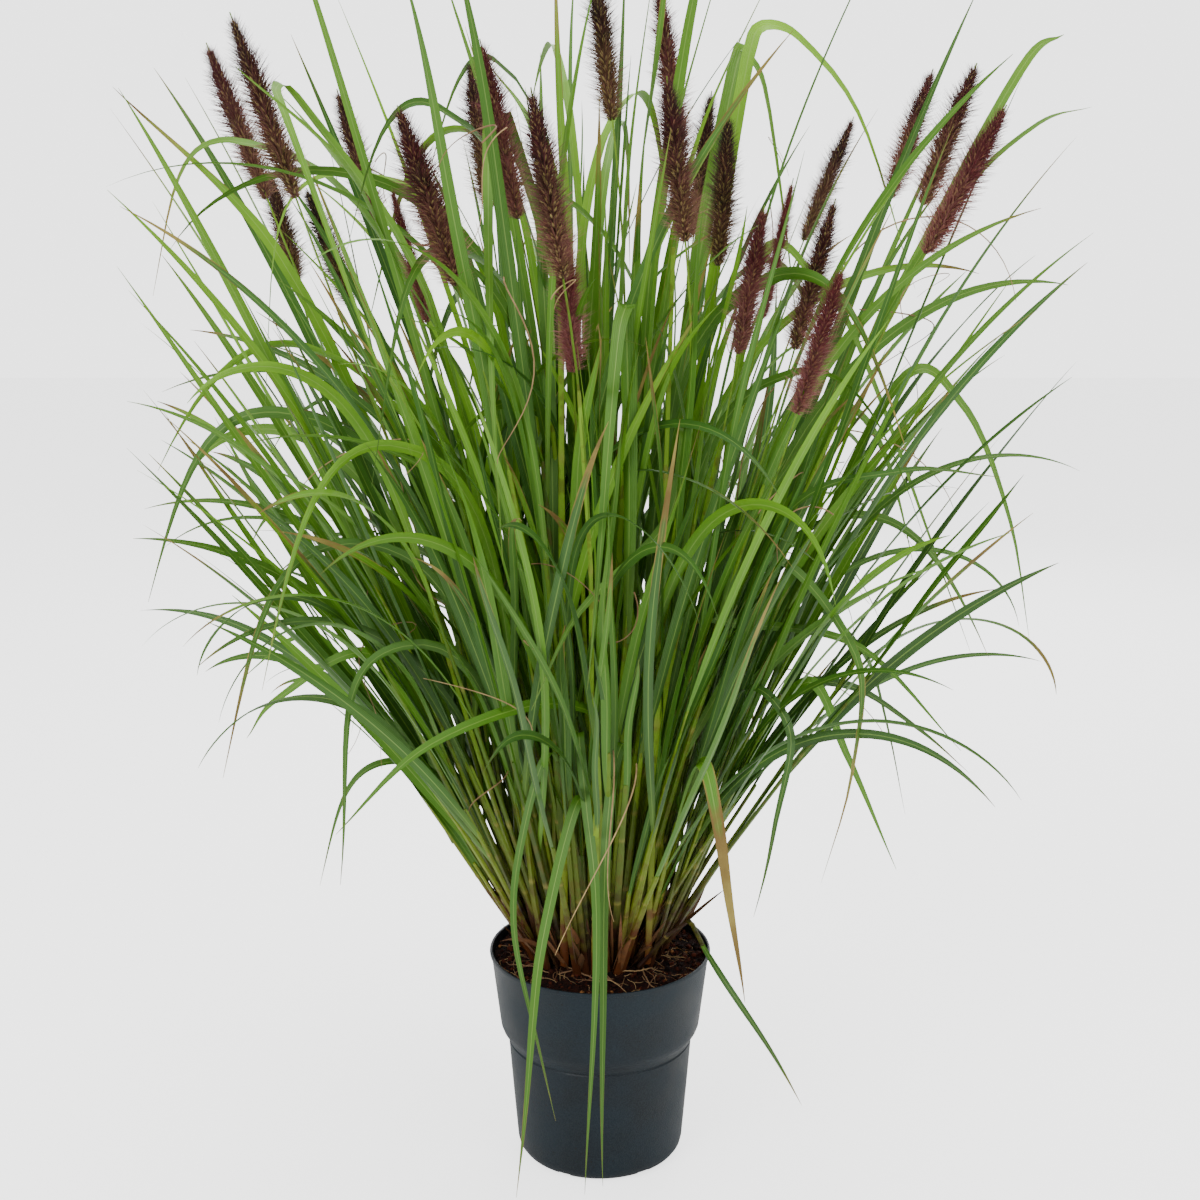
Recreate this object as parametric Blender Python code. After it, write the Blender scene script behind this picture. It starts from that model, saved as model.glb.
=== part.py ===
"""A potted fountain grass clump, in metres, with +Z up and the pot's flat base on Z = 0.

The pot's axis is the Z axis, and the front of the clump faces -Y.
The plant is built as a planting plan: rows of plain sizes say where every flowering
stem and leaf blade stands, how high it crests and where its tip hangs.
"""

import math

import bmesh
import bpy
from mathutils import Matrix, Vector
from mathutils.geometry import interpolate_bezier

# ---------------------------------------------------------------- sizes
GAP = 0.0003  # clearance between parts that rest against each other
ROUND_STEPS = 40  # facets round the pot and the soil
CROWN_STEPS = 24  # facets round the crown

RIM_HEIGHT = 0.185
NOTCHES = 6
FIRST_NOTCH = math.radians(-57.0)

CROWN_CENTRE = Vector((-0.004, 0.010, 0.0))
CROWN_TOP = 0.187
CROWN_RADIUS = 0.063

STEM_RADIUS = 0.0013
SPIKE_SIDES = 6
FOOT_SHARE = 0.185  # how far out a stem's foot stands, as a share of its spike's distance

BLADE_WIDTH = 0.0085
BLADE_FOLD = 0.0022  # depth of the V that a folded blade makes
BUNDLE_RADIUS = 0.0055
BUNDLE_HEIGHT = 0.060

# Each flowering stem: the foot of its spike, the tip of its spike, and the spike's radius.
FLOWERING_STEMS = [
    ((-0.265, 0.020, 0.815), (-0.310, 0.030, 0.935), 0.0095),
    ((-0.225, -0.080, 0.815), (-0.265, -0.095, 0.945), 0.0100),
    ((-0.260, 0.115, 0.745), (-0.285, 0.135, 0.840), 0.0090),
    ((-0.220, 0.150, 0.725), (-0.260, 0.180, 0.825), 0.0095),
    ((-0.185, 0.090, 0.785), (-0.220, 0.110, 0.905), 0.0095),
    ((-0.100, -0.165, 0.755), (-0.135, -0.200, 0.875), 0.0110),
    ((-0.135, -0.025, 0.720), (-0.160, -0.035, 0.825), 0.0060),
    ((-0.090, 0.050, 0.805), (-0.105, 0.060, 0.925), 0.0095),
    ((-0.060, -0.095, 0.800), (-0.085, -0.115, 0.925), 0.0095),
    ((-0.025, -0.190, 0.760), (-0.045, -0.225, 0.885), 0.0100),
    ((0.010, 0.020, 0.875), (-0.005, 0.025, 0.995), 0.0095),
    ((-0.020, -0.115, 0.690), (-0.025, -0.135, 0.790), 0.0085),
    ((0.065, 0.040, 0.850), (0.045, 0.045, 0.985), 0.0095),
    ((0.060, -0.155, 0.785), (0.045, -0.180, 0.895), 0.0095),
    ((0.080, 0.115, 0.785), (0.095, 0.135, 0.905), 0.0095),
    ((0.090, -0.055, 0.765), (0.095, -0.070, 0.875), 0.0090),
    ((0.125, -0.050, 0.725), (0.145, -0.060, 0.830), 0.0055),
    ((0.100, -0.135, 0.705), (0.115, -0.155, 0.810), 0.0085),
    ((0.175, 0.125, 0.780), (0.220, 0.160, 0.885), 0.0080),
    ((0.145, -0.095, 0.705), (0.170, -0.115, 0.815), 0.0085),
    ((0.140, -0.165, 0.665), (0.165, -0.200, 0.770), 0.0080),
    ((0.240, 0.075, 0.815), (0.275, 0.095, 0.920), 0.0090),
    ((0.250, -0.020, 0.810), (0.285, -0.030, 0.915), 0.0095),
    ((0.240, -0.095, 0.775), (0.290, -0.115, 0.880), 0.0095),
]

# Each tuft: where its foot stands, then its blades.
# A blade: azimuth in degrees, crest (reach, height), tip (reach, height).
# Reach is measured from the middle of the crown, azimuth from +X towards +Y.
LEAF_TUFTS = [
    (
        (0.052, 0.008),
        [
            (5, (0.215, 0.413), (0.335, 0.325)),
            (357, (0.255, 0.670), (0.353, 0.471)),
            (10, (0.170, 0.766), (0.345, 0.422)),
            (0, (0.200, 0.560), (0.330, 0.440)),
            (7, (0.290, 0.830), (0.395, 0.945)),
            (345, (0.275, 0.806), (0.375, 0.880)),
            (15, (0.190, 0.475), (0.290, 0.275)),
            (338, (0.180, 0.440), (0.262, 0.286)),
        ],
    ),
    (
        (0.036, -0.030),
        [
            (332, (0.165, 0.485), (0.312, 0.393)),
            (329, (0.190, 0.580), (0.350, 0.625)),
            (324, (0.205, 0.500), (0.245, 0.300)),
            (317, (0.165, 0.440), (0.205, 0.270)),
            (306, (0.135, 0.392), (0.192, 0.198)),
            (313, (0.120, 0.232), (0.240, 0.121)),
            (321, (0.190, 0.690), (0.310, 0.560)),
            (320, (0.175, 0.760), (0.290, 0.640)),
        ],
    ),
    (
        (0.004, -0.045),
        [
            (273, (0.100, 0.405), (0.172, 0.042)),
            (276, (0.096, 0.395), (0.156, 0.042)),
            (248, (0.120, 0.394), (0.162, 0.098)),
            (257, (0.120, 0.360), (0.184, 0.040)),
            (281, (0.162, 0.737), (0.235, 0.470)),
            (286, (0.140, 0.560), (0.300, 0.440)),
            (292, (0.150, 0.850), (0.230, 0.985)),
            (272, (0.170, 0.660), (0.340, 0.540)),
        ],
    ),
    (
        (-0.038, -0.034),
        [
            (233, (0.125, 0.430), (0.285, 0.358)),
            (226, (0.210, 0.640), (0.335, 0.480)),
            (218, (0.185, 0.480), (0.250, 0.300)),
            (235, (0.170, 0.780), (0.270, 0.620)),
            (211, (0.215, 0.560), (0.325, 0.390)),
            (222, (0.220, 0.820), (0.320, 0.900)),
            (206, (0.190, 0.720), (0.330, 0.640)),
            (229, (0.170, 0.880), (0.260, 0.780)),
        ],
    ),
    (
        (-0.059, 0.003),
        [
            (195, (0.215, 0.450), (0.292, 0.393)),
            (172, (0.245, 0.450), (0.311, 0.405)),
            (186, (0.187, 0.835), (0.270, 0.610)),
            (183, (0.280, 0.860), (0.350, 0.740)),
            (188, (0.250, 0.650), (0.362, 0.500)),
            (182, (0.230, 0.700), (0.355, 0.600)),
            (181, (0.250, 0.770), (0.375, 0.900)),
            (191, (0.170, 0.360), (0.235, 0.255)),
        ],
    ),
    (
        (-0.045, 0.047),
        [
            (140, (0.130, 0.870), (0.270, 0.700)),
            (144, (0.220, 0.640), (0.345, 0.480)),
            (138, (0.200, 0.800), (0.320, 0.860)),
            (131, (0.230, 0.560), (0.330, 0.380)),
            (123, (0.180, 0.740), (0.310, 0.580)),
            (143, (0.190, 0.470), (0.290, 0.320)),
            (134, (0.180, 0.560), (0.300, 0.470)),
            (127, (0.140, 0.930), (0.260, 0.820)),
        ],
    ),
    (
        (-0.006, 0.065),
        [
            (90, (0.190, 0.640), (0.330, 0.470)),
            (98, (0.220, 0.800), (0.330, 0.880)),
            (108, (0.200, 0.520), (0.300, 0.330)),
            (83, (0.150, 0.880), (0.290, 0.740)),
            (75, (0.210, 0.560), (0.320, 0.400)),
            (103, (0.150, 0.940), (0.280, 0.900)),
            (113, (0.220, 0.700), (0.340, 0.590)),
            (79, (0.160, 0.430), (0.240, 0.260)),
        ],
    ),
    (
        (0.036, 0.047),
        [
            (28, (0.185, 0.905), (0.290, 0.740)),
            (32, (0.230, 0.640), (0.350, 0.480)),
            (48, (0.210, 0.760), (0.340, 0.640)),
            (58, (0.220, 0.560), (0.320, 0.370)),
            (66, (0.200, 0.820), (0.310, 0.890)),
            (27, (0.190, 0.520), (0.300, 0.420)),
            (53, (0.170, 0.450), (0.260, 0.290)),
            (43, (0.140, 0.960), (0.250, 0.950)),
        ],
    ),
    (
        (-0.006, 0.026),
        [
            (70, (0.085, 0.900), (0.190, 0.780)),
            (73, (0.060, 0.880), (0.095, 1.050)),
            (118, (0.050, 0.800), (0.070, 1.030)),
            (172, (0.070, 0.820), (0.120, 0.990)),
            (5, (0.075, 0.840), (0.150, 1.010)),
            (210, (0.060, 0.780), (0.110, 0.940)),
            (118, (0.100, 0.860), (0.200, 0.930)),
            (300, (0.050, 0.820), (0.090, 0.980)),
        ],
    ),
]

COLOURS = {
    "pot": (0.060, 0.085, 0.105),
    "soil": (0.045, 0.022, 0.014),
    "crown": (0.180, 0.130, 0.060),
    "stem": (0.260, 0.330, 0.090),
    "spike": (0.110, 0.065, 0.060),
    "leaf": (0.090, 0.190, 0.030),
}


# ---------------------------------------------------------------- helpers
def new_collection(name, hidden=False):
    """Adds a collection to the scene; a hidden one holds only cutters and other helpers."""
    collection = bpy.data.collections.new(name)
    collection.hide_render = hidden
    bpy.context.scene.collection.children.link(collection)
    return collection


def add_object(name, bm, collection, kind, shade=1.0):
    """Turns a finished bmesh into an object that has a material of its own."""
    mesh = bpy.data.meshes.new(name)
    bmesh.ops.recalc_face_normals(bm, faces=bm.faces)
    bm.to_mesh(mesh)
    bm.free()
    obj = bpy.data.objects.new(name, mesh)
    collection.objects.link(obj)
    material = bpy.data.materials.new(name)
    material.use_nodes = True
    surface = material.node_tree.nodes["Principled BSDF"]
    colour = [channel * shade for channel in COLOURS[kind]]
    surface.inputs["Base Color"].default_value = (*colour, 1.0)
    surface.inputs["Roughness"].default_value = 0.6
    material.diffuse_color = (*colour, 1.0)
    mesh.materials.append(material)
    if collection.hide_render:
        obj.hide_render = True
        obj.display_type = "WIRE"
    return obj


def turned(profile, centre=(0.0, 0.0), steps=ROUND_STEPS):
    """A solid of revolution. The profile is (radius, height) rows from axis to axis."""
    bm = bmesh.new()
    corners = [bm.verts.new((radius, 0.0, height)) for radius, height in profile]
    edges = [bm.edges.new(pair) for pair in zip(corners, corners[1:])]
    bmesh.ops.spin(
        bm,
        geom=corners + edges,
        cent=(0.0, 0.0, 0.0),
        axis=(0.0, 0.0, 1.0),
        angle=math.tau,
        steps=steps,
        use_merge=True,
    )
    bmesh.ops.remove_doubles(bm, verts=bm.verts, dist=0.00001)
    bmesh.ops.translate(bm, verts=bm.verts, vec=(*centre, 0.0))
    return bm


def lofted(rings):
    """A closed solid through rings of the same number of points, capped at both ends."""
    bm = bmesh.new()
    loops = [[bm.verts.new(point) for point in ring] for ring in rings]
    count = len(loops[0])
    for lower, upper in zip(loops, loops[1:]):
        for i in range(count):
            j = (i + 1) % count
            bm.faces.new((lower[i], lower[j], upper[j], upper[i]))
    bm.faces.new(loops[0])
    bm.faces.new(loops[-1])
    return bm


def directions(route):
    """The unit direction of travel at each point of a route."""
    ahead = route[1:] + [route[-1] + (route[-1] - route[-2])]
    behind = [route[0] - (route[1] - route[0])] + route[:-1]
    return [(a - b).normalized() for a, b in zip(ahead, behind)]


def round_ring(centre, along, radius, sides):
    """Points of a regular polygon square to the direction of travel."""
    across = along.orthogonal().normalized()
    upward = along.cross(across)
    turns = [math.tau * i / sides for i in range(sides)]
    return [
        centre + (across * math.cos(turn) + upward * math.sin(turn)) * radius
        for turn in turns
    ]


def combine(obj, name, operation, other):
    """Cuts the other object from this one, or joins it on."""
    modifier = obj.modifiers.new(name, "BOOLEAN")
    modifier.operation = operation
    modifier.solver = "EXACT"
    modifier.object = other


def outward(azimuth):
    """The level unit direction of an azimuth in degrees."""
    angle = math.radians(azimuth)
    return Vector((math.cos(angle), math.sin(angle), 0.0))


def upright(height):
    return Vector((0.0, 0.0, height))


# ---------------------------------------------------------------- pot, soil and crown
def make_pot(collection, cutters):
    """A thin moulded pot: flat base, tapered body, a shoulder, and a wider collar."""
    bm = turned(
        [
            (0.0, 0.0),
            (0.0610, 0.0),
            (0.0685, 0.0030),
            (0.0722, 0.0100),
            (0.0800, 0.1060),
            (0.0862, 0.1180),
            (0.0938, 0.1815),
            (0.0952, 0.1820),
            (0.0952, RIM_HEIGHT),
            (0.0925, RIM_HEIGHT),
            (0.0848, 0.1186),
            (0.0786, 0.1068),
            (0.0708, 0.0108),
            (0.0600, 0.0016),
            (0.0, 0.0016),
        ]
    )
    pot = add_object("pot", bm, collection, "pot")

    # Drainage notches where the wall meets the base.
    bm = bmesh.new()
    for step in range(NOTCHES):
        notch = bmesh.ops.create_cube(bm, size=1.0)["verts"]
        bmesh.ops.scale(bm, verts=notch, vec=(0.0160, 0.0130, 0.0044))
        bmesh.ops.translate(bm, verts=notch, vec=(0.0700, 0.0, 0.0020))
        turn = Matrix.Rotation(math.tau * step / NOTCHES + FIRST_NOTCH, 3, "Z")
        bmesh.ops.rotate(bm, verts=notch, cent=(0.0, 0.0, 0.0), matrix=turn)
    cutter = add_object("notch_cutter", bm, cutters, "pot")
    combine(pot, "drainage notches", "DIFFERENCE", cutter)


def make_soil(collection, cutters):
    """The potting soil, nearly flush with the rim, with a shallow pocket for the crown."""
    bm = turned(
        [
            (0.0, 0.0016 + GAP),
            (0.0597, 0.0016 + GAP),
            (0.0705, 0.0111),
            (0.0783, 0.1070),
            (0.0845, 0.1188),
            (0.0911, 0.1770),
            (0.0860, 0.1790),
            (0.0700, 0.1800),
            (0.0, 0.1815),
        ]
    )
    soil = add_object("soil", bm, collection, "soil")
    pocket = turned(crown_profile(GAP), CROWN_CENTRE.xy, CROWN_STEPS)
    cutter = add_object("crown_pocket", pocket, cutters, "soil")
    combine(soil, "pocket for the crown", "DIFFERENCE", cutter)


def crown_profile(grow=0.0):
    """The rootstock's outline. Grown by the clearance, it is the pocket in the soil."""
    return [
        (0.0, 0.1690 - grow),
        (0.0560 + grow, 0.1710 - grow),
        (CROWN_RADIUS + grow, 0.1790),
        (CROWN_RADIUS - 0.0030 + grow, CROWN_TOP + grow),
        (0.0, CROWN_TOP + grow),
    ]


def make_crown(collection):
    """The low woody rootstock that every shoot grows from."""
    bm = turned(crown_profile(), CROWN_CENTRE.xy, CROWN_STEPS)
    add_object("crown", bm, collection, "crown")


# ---------------------------------------------------------------- flowering stems
def make_flowering_stem(number, spike_foot, spike_tip, spike_radius, collection):
    """A thin stem that leans out from the crown, and the bottle-brush spike on its end."""
    spike_foot = Vector(spike_foot)
    spike_tip = Vector(spike_tip)
    along_spike = (spike_tip - spike_foot).normalized()

    level = (spike_foot - CROWN_CENTRE) * FOOT_SHARE + CROWN_CENTRE
    foot = Vector((level.x, level.y, CROWN_TOP + GAP))
    top = spike_foot - along_spike * GAP
    reach = (top - foot).length / 3.0
    rise = Vector((top.x - foot.x, top.y - foot.y, 1.6 * top.z)).normalized()
    handles = foot + rise * reach, top - along_spike * reach
    route = interpolate_bezier(foot, *handles, top, 8)
    rings = [
        round_ring(point, along, STEM_RADIUS * (1.0 - 0.4 * i / 7), 4)
        for i, (point, along) in enumerate(zip(route, directions(route)))
    ]
    rings[0] = [Vector((point.x, point.y, foot.z)) for point in rings[0]]
    add_object(f"flower_stem_{number:02d}", lofted(rings), collection, "stem")

    # The spike swells quickly from its foot and narrows to a blunt tip.
    shape = [(0.0, 0.25), (0.10, 0.80), (0.40, 1.0), (0.80, 0.80), (1.0, 0.20)]
    rings = [
        round_ring(
            spike_foot.lerp(spike_tip, share),
            along_spike,
            spike_radius * swell,
            SPIKE_SIDES,
        )
        for share, swell in shape
    ]
    add_object(f"flower_spike_{number:02d}", lofted(rings), collection, "spike")


# ---------------------------------------------------------------- leaf tufts
def blade_route(foot, azimuth, crest, tip):
    """Points from a blade's foot, up over its crest and on to its tip."""
    crest = CROWN_CENTRE + outward(azimuth) * crest[0] + upright(crest[1])
    tip = CROWN_CENTRE + outward(azimuth) * tip[0] + upright(tip[1])
    over = ((tip - crest).normalized() + (crest - foot).normalized()).normalized()
    rise = (crest - foot).length
    fall = (tip - crest).length
    climbing = foot + (crest - foot) * 0.33 + upright(0.06 * rise)
    sag = upright(0.35 * max(0.0, crest.z - tip.z))
    lower = interpolate_bezier(foot, climbing, crest - over * 0.30 * rise, crest, 5)
    upper = interpolate_bezier(
        crest, crest + over * 0.35 * fall, tip + (crest - tip) * 0.25 + sag, tip, 6
    )
    return lower + upper[1:]


def make_blade(foot, blade):
    """One folded blade: a long solid whose section is a shallow V filled in."""
    azimuth, crest, tip = blade
    route = blade_route(foot, azimuth, crest, tip)
    sideways = Vector((0.0, 0.0, 1.0)).cross(outward(azimuth))
    rings = []
    for i, (point, along) in enumerate(zip(route, directions(route))):
        share = i / (len(route) - 1)
        width = BLADE_WIDTH * min(0.55 + 1.5 * share, 1.0, 2.3 * (1.0 - share) + 0.12)
        face = sideways.cross(along).normalized()
        half = sideways * width * 0.5
        keel = face * BLADE_FOLD * width / BLADE_WIDTH
        rings.append([point - half, point - keel, point + half])
    return lofted(rings)


def make_tuft(number, foot, blades, collection):
    """A bundle of leaf sheaths with its blades, joined into one body."""
    foot = Vector((*foot, CROWN_TOP + GAP))
    lean = (foot - CROWN_CENTRE) * Vector((1.0, 1.0, 0.0)) * 0.35
    rings = []
    for share, swell in [(0.0, 0.85), (0.25, 1.0), (1.0, 0.72)]:
        centre = foot + lean * share + upright(BUNDLE_HEIGHT * share)
        rings.append(round_ring(centre, upright(1.0), BUNDLE_RADIUS * swell, 8))
    shade = 0.85 + 0.06 * (number % 4)
    name = f"leaf_tuft_{number:02d}"
    tuft = add_object(name, lofted(rings), collection, "leaf", shade)

    start = foot + lean * 0.1 + upright(0.1 * BUNDLE_HEIGHT)
    group = new_collection(f"{name}_blades", hidden=True)
    for i, blade in enumerate(blades):
        add_object(f"{name}_blade_{i + 1}", make_blade(start, blade), group, "leaf")
    join = tuft.modifiers.new("blades", "BOOLEAN")
    join.operation = "UNION"
    join.solver = "EXACT"
    join.operand_type = "COLLECTION"
    join.collection = group


def main():
    for obj in list(bpy.data.objects):
        bpy.data.objects.remove(obj)
    clump = new_collection("potted_fountain_grass")
    cutters = new_collection("cutters", hidden=True)
    make_pot(clump, cutters)
    make_soil(clump, cutters)
    make_crown(clump)
    for number, sizes in enumerate(FLOWERING_STEMS, start=1):
        make_flowering_stem(number, *sizes, clump)
    for number, (foot, blades) in enumerate(LEAF_TUFTS, start=1):
        make_tuft(number, foot, blades, clump)


main()
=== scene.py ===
# %% [markdown]
# # A potted fountain grass clump
#
# A fountain grass grows as a tight tuft of shoots. Each shoot is a stalk wrapped in leaf
# sheaths, and from each joint of the stalk one long, folded, ribbed blade leans away.
# Above the leaves stand the flowers: dark bottle brushes on thin stems.
# This lesson models one blade, one stalk, one spikelet and one crumb of soil by hand,
# and then carries many copies of each along routes of their own.
# Sizes are in metres, +Z is up, the pot stands on Z = 0 and the front faces -Y.

# %% Load the fixed frame
import math

import bmesh
import bpy
import numpy as np
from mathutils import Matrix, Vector, noise
from mathutils.bvhtree import BVHTree
from mathutils.geometry import interpolate_bezier


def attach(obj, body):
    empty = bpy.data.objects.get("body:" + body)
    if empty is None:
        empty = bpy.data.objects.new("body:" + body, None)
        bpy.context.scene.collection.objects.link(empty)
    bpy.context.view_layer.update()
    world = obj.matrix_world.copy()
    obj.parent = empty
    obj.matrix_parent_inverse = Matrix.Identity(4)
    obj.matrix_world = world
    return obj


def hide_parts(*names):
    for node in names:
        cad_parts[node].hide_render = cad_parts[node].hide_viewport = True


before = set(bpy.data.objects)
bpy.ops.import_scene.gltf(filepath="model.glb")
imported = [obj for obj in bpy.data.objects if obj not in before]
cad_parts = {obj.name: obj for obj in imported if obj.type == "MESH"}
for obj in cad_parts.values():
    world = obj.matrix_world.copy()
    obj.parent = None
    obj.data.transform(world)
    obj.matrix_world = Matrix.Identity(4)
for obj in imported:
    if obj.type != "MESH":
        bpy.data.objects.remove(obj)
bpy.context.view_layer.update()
draw = np.random.default_rng(seed=1907)
print("The frame holds", len(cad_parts), "solids")

# %% [markdown]
# ## Camera and studio
#
# The camera comes first, so that every piece can be judged from the right place.
# It stands a little below the tops of the leaves, close to the clump, and looks down.

# %% Camera
CAMERA_PLACE = (0.0, -1.40, 0.81)
CAMERA_TILT = math.radians(77.2)
bpy.ops.object.camera_add(location=CAMERA_PLACE, rotation=(CAMERA_TILT, 0, 0))
camera = bpy.context.object
camera.name = "camera"
camera.data.lens = 52.1
camera.data.sensor_width = 36.0
camera.data.clip_start = 0.05
bpy.context.scene.camera = camera


# %% Floor, lights and sky
def set_glow(tree, strength, hidden, seen):
    """Sets how bright a surface is as a light, and how bright the camera sees it."""
    ray = tree.nodes.new("ShaderNodeLightPath")
    glow = tree.nodes.new("ShaderNodeMapRange")
    glow.inputs["To Min"].default_value = hidden
    glow.inputs["To Max"].default_value = seen
    tree.links.new(ray.outputs["Is Camera Ray"], glow.inputs["Value"])
    tree.links.new(glow.outputs["Result"], strength)


bpy.ops.mesh.primitive_plane_add(size=14.0, location=(0, 0, 0))
floor = bpy.context.object
floor.name = "studio_floor"
floor_paint = bpy.data.materials.new("pale_floor")
floor_paint.use_nodes = True
floor_surface = floor_paint.node_tree.nodes["Principled BSDF"].inputs
floor_surface["Base Color"].default_value = (0.90, 0.90, 0.90, 1)
floor_surface["Roughness"].default_value = 0.9
floor_surface["Emission Color"].default_value = (1.0, 1.0, 1.0, 1)
set_glow(floor_paint.node_tree, floor_surface["Emission Strength"], hidden=0.0, seen=1.9)
floor.data.materials.append(floor_paint)


def add_lamp(name, place, target, size, power):
    """A square soft box that faces a target."""
    bpy.ops.object.light_add(type="AREA", location=place)
    lamp = bpy.context.object
    lamp.name = name
    lamp.data.size = size
    lamp.data.energy = power
    aim = Vector(target) - Vector(place)
    lamp.rotation_euler = aim.to_track_quat("-Z", "Y").to_euler()


add_lamp("key_light", (-1.6, -2.2, 2.3), (0, 0, 0.5), 1.6, 55)
add_lamp("fill_light", (2.0, -1.8, 1.4), (0, 0, 0.5), 1.8, 26)
add_lamp("top_light", (0.2, 0.3, 3.0), (0, 0, 0.5), 1.8, 38)
add_lamp("back_light", (0.6, 2.4, 1.6), (0, 0, 0.6), 1.6, 26)

sky = bpy.data.worlds.new("studio_sky")
bpy.context.scene.world = sky
sky.use_nodes = True
sky_light = sky.node_tree.nodes["Background"].inputs
sky_light["Color"].default_value = (1.0, 1.0, 1.0, 1)
set_glow(sky.node_tree, sky_light["Strength"], hidden=0.85, seen=2.9)
print("Studio ready, with", len(bpy.data.lights), "lamps")

# %% [markdown]
# ## Helpers for working as by hand
#
# An operator acts on everything that is selected, so each step first clears the selection.
# Points are then picked in code, by where they lie.


# %% Select, shape and read a mesh
def only(obj):
    """Selects one object and nothing else."""
    bpy.ops.object.select_all(action="DESELECT")
    obj.select_set(True)
    bpy.context.view_layer.objects.active = obj


def pick_points(test):
    """In edit mode, selects the points whose place passes the test."""
    bpy.ops.mesh.select_mode(type="VERT")
    bpy.ops.mesh.select_all(action="DESELECT")
    shape = bmesh.from_edit_mesh(bpy.context.object.data)
    for point in shape.verts:
        point.select_set(bool(test(point.co)))
    shape.select_flush(True)
    bmesh.update_edit_mesh(bpy.context.object.data)


def pick_faces(test):
    """In edit mode, selects the faces whose middle passes the test."""
    bpy.ops.mesh.select_mode(type="FACE")
    bpy.ops.mesh.select_all(action="DESELECT")
    shape = bmesh.from_edit_mesh(bpy.context.object.data)
    for face in shape.faces:
        face.select_set(bool(test(face.calc_center_median(), face.normal)))
    bmesh.update_edit_mesh(bpy.context.object.data)


def draw_up(steps):
    """Extrudes the selected end face through (radius, height) steps."""
    for (radius, height), (next_radius, next_height) in zip(steps, steps[1:]):
        bpy.ops.mesh.extrude_region_move(
            TRANSFORM_OT_translate={"value": (0, 0, next_height - height)}
        )
        share = next_radius / radius
        bpy.ops.transform.resize(value=(share, share, 1), center_override=(0, 0, next_height))


def finish_piece(obj, slot, *nodes):
    """Attaches the piece to the root body and hides the solids that it stands for; the slot is not
    used.
    """
    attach(obj, "root")
    if nodes:
        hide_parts(*nodes)


def faces_outwards(obj):
    """Joins doubled points and turns every face outwards."""
    only(obj)
    bpy.ops.object.mode_set(mode="EDIT")
    bpy.ops.mesh.select_all(action="SELECT")
    bpy.ops.mesh.remove_doubles(threshold=0.000002)
    bpy.ops.mesh.normals_make_consistent(inside=False)
    bpy.ops.object.mode_set(mode="OBJECT")


# %% [markdown]
# ## Shader groups
#
# Every surface here shares a few effects: a soft mottle, fine ribs that run along a leaf,
# tips and edges that have dried brown, and specks of soil. Each is one node group
# with named inputs, so a finish only sets its own values.


# %% Build node trees with short calls
def add_node(tree, kind, inputs=None, **settings):
    """Adds a node, sets its properties, and links or sets its inputs."""
    made = tree.nodes.new(kind)
    for name, value in settings.items():
        setattr(made, name, value)
    for key, value in (inputs or {}).items():
        feed(tree, made.inputs[key], value)
    return made


def feed(tree, socket, value):
    """Links an input when the value comes from another node, and sets it otherwise."""
    if isinstance(value, bpy.types.NodeSocket):
        tree.links.new(value, socket)
    else:
        socket.default_value = value


def maths(tree, operation, first, second=0.5, third=0.5, clamp=False):
    """One Math node; returns its output socket."""
    values = {0: first, 1: second, 2: third}
    made = add_node(tree, "ShaderNodeMath", values, operation=operation, use_clamp=clamp)
    return made.outputs[0]


def blend(tree, share, first, second):
    """Mixes two colours; returns the output socket."""
    return add_node(
        tree, "ShaderNodeMix", {0: share, 6: first, 7: second}, data_type="RGBA"
    ).outputs[2]


def ramp(tree, value, low, high):
    """Goes from 0 to 1, smoothly, as the value goes from low to high."""
    inputs = {"Value": value, "From Min": low, "From Max": high}
    made = add_node(tree, "ShaderNodeMapRange", inputs, interpolation_type="SMOOTHSTEP")
    return made.outputs["Result"]


def new_group(name, inputs, outputs):
    """A shader node group with float or vector sockets."""
    group = bpy.data.node_groups.new(name, "ShaderNodeTree")
    for label, kind, value in inputs:
        socket = group.interface.new_socket(label, in_out="INPUT", socket_type=kind)
        if value is not None:
            socket.default_value = value
    for label, kind in outputs:
        group.interface.new_socket(label, in_out="OUTPUT", socket_type=kind)
    entry = group.nodes.new("NodeGroupInput")
    leave = group.nodes.new("NodeGroupOutput")
    return group, entry.outputs, leave.inputs


FLOAT = "NodeSocketFloat"
VECTOR = "NodeSocketVector"

# %% Mottle: soft cloudy variation over any surface
mottle, given, result = new_group(
    "mottle",
    [("Position", VECTOR, None), ("Size", FLOAT, 0.02), ("Detail", FLOAT, 4.0)],
    [("Cloud", FLOAT)],
)
scale = maths(mottle, "DIVIDE", 1.0, given["Size"])
cloud = add_node(
    mottle,
    "ShaderNodeTexNoise",
    {"Vector": given["Position"], "Scale": scale, "Detail": given["Detail"]},
)
mottle.links.new(ramp(mottle, cloud.outputs[0], 0.30, 0.70), result["Cloud"])

# %% Ribs: fine lines along a blade, and a pale rib down its middle
ribs, given, result = new_group(
    "ribs",
    [("Across", FLOAT, 0.5), ("Count", FLOAT, 9.0), ("Middle Width", FLOAT, 0.07)],
    [("Lines", FLOAT), ("Middle", FLOAT)],
)
turns = maths(ribs, "MULTIPLY", given["Across"], given["Count"])
wave = maths(ribs, "SINE", maths(ribs, "MULTIPLY", turns, math.tau))
ribs.links.new(maths(ribs, "MULTIPLY_ADD", wave, 0.5), result["Lines"])
off_middle = maths(ribs, "ABSOLUTE", maths(ribs, "SUBTRACT", given["Across"], 0.5))
near = maths(ribs, "DIVIDE", off_middle, given["Middle Width"])
ribs.links.new(maths(ribs, "SUBTRACT", 1.0, near, clamp=True), result["Middle"])

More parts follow.
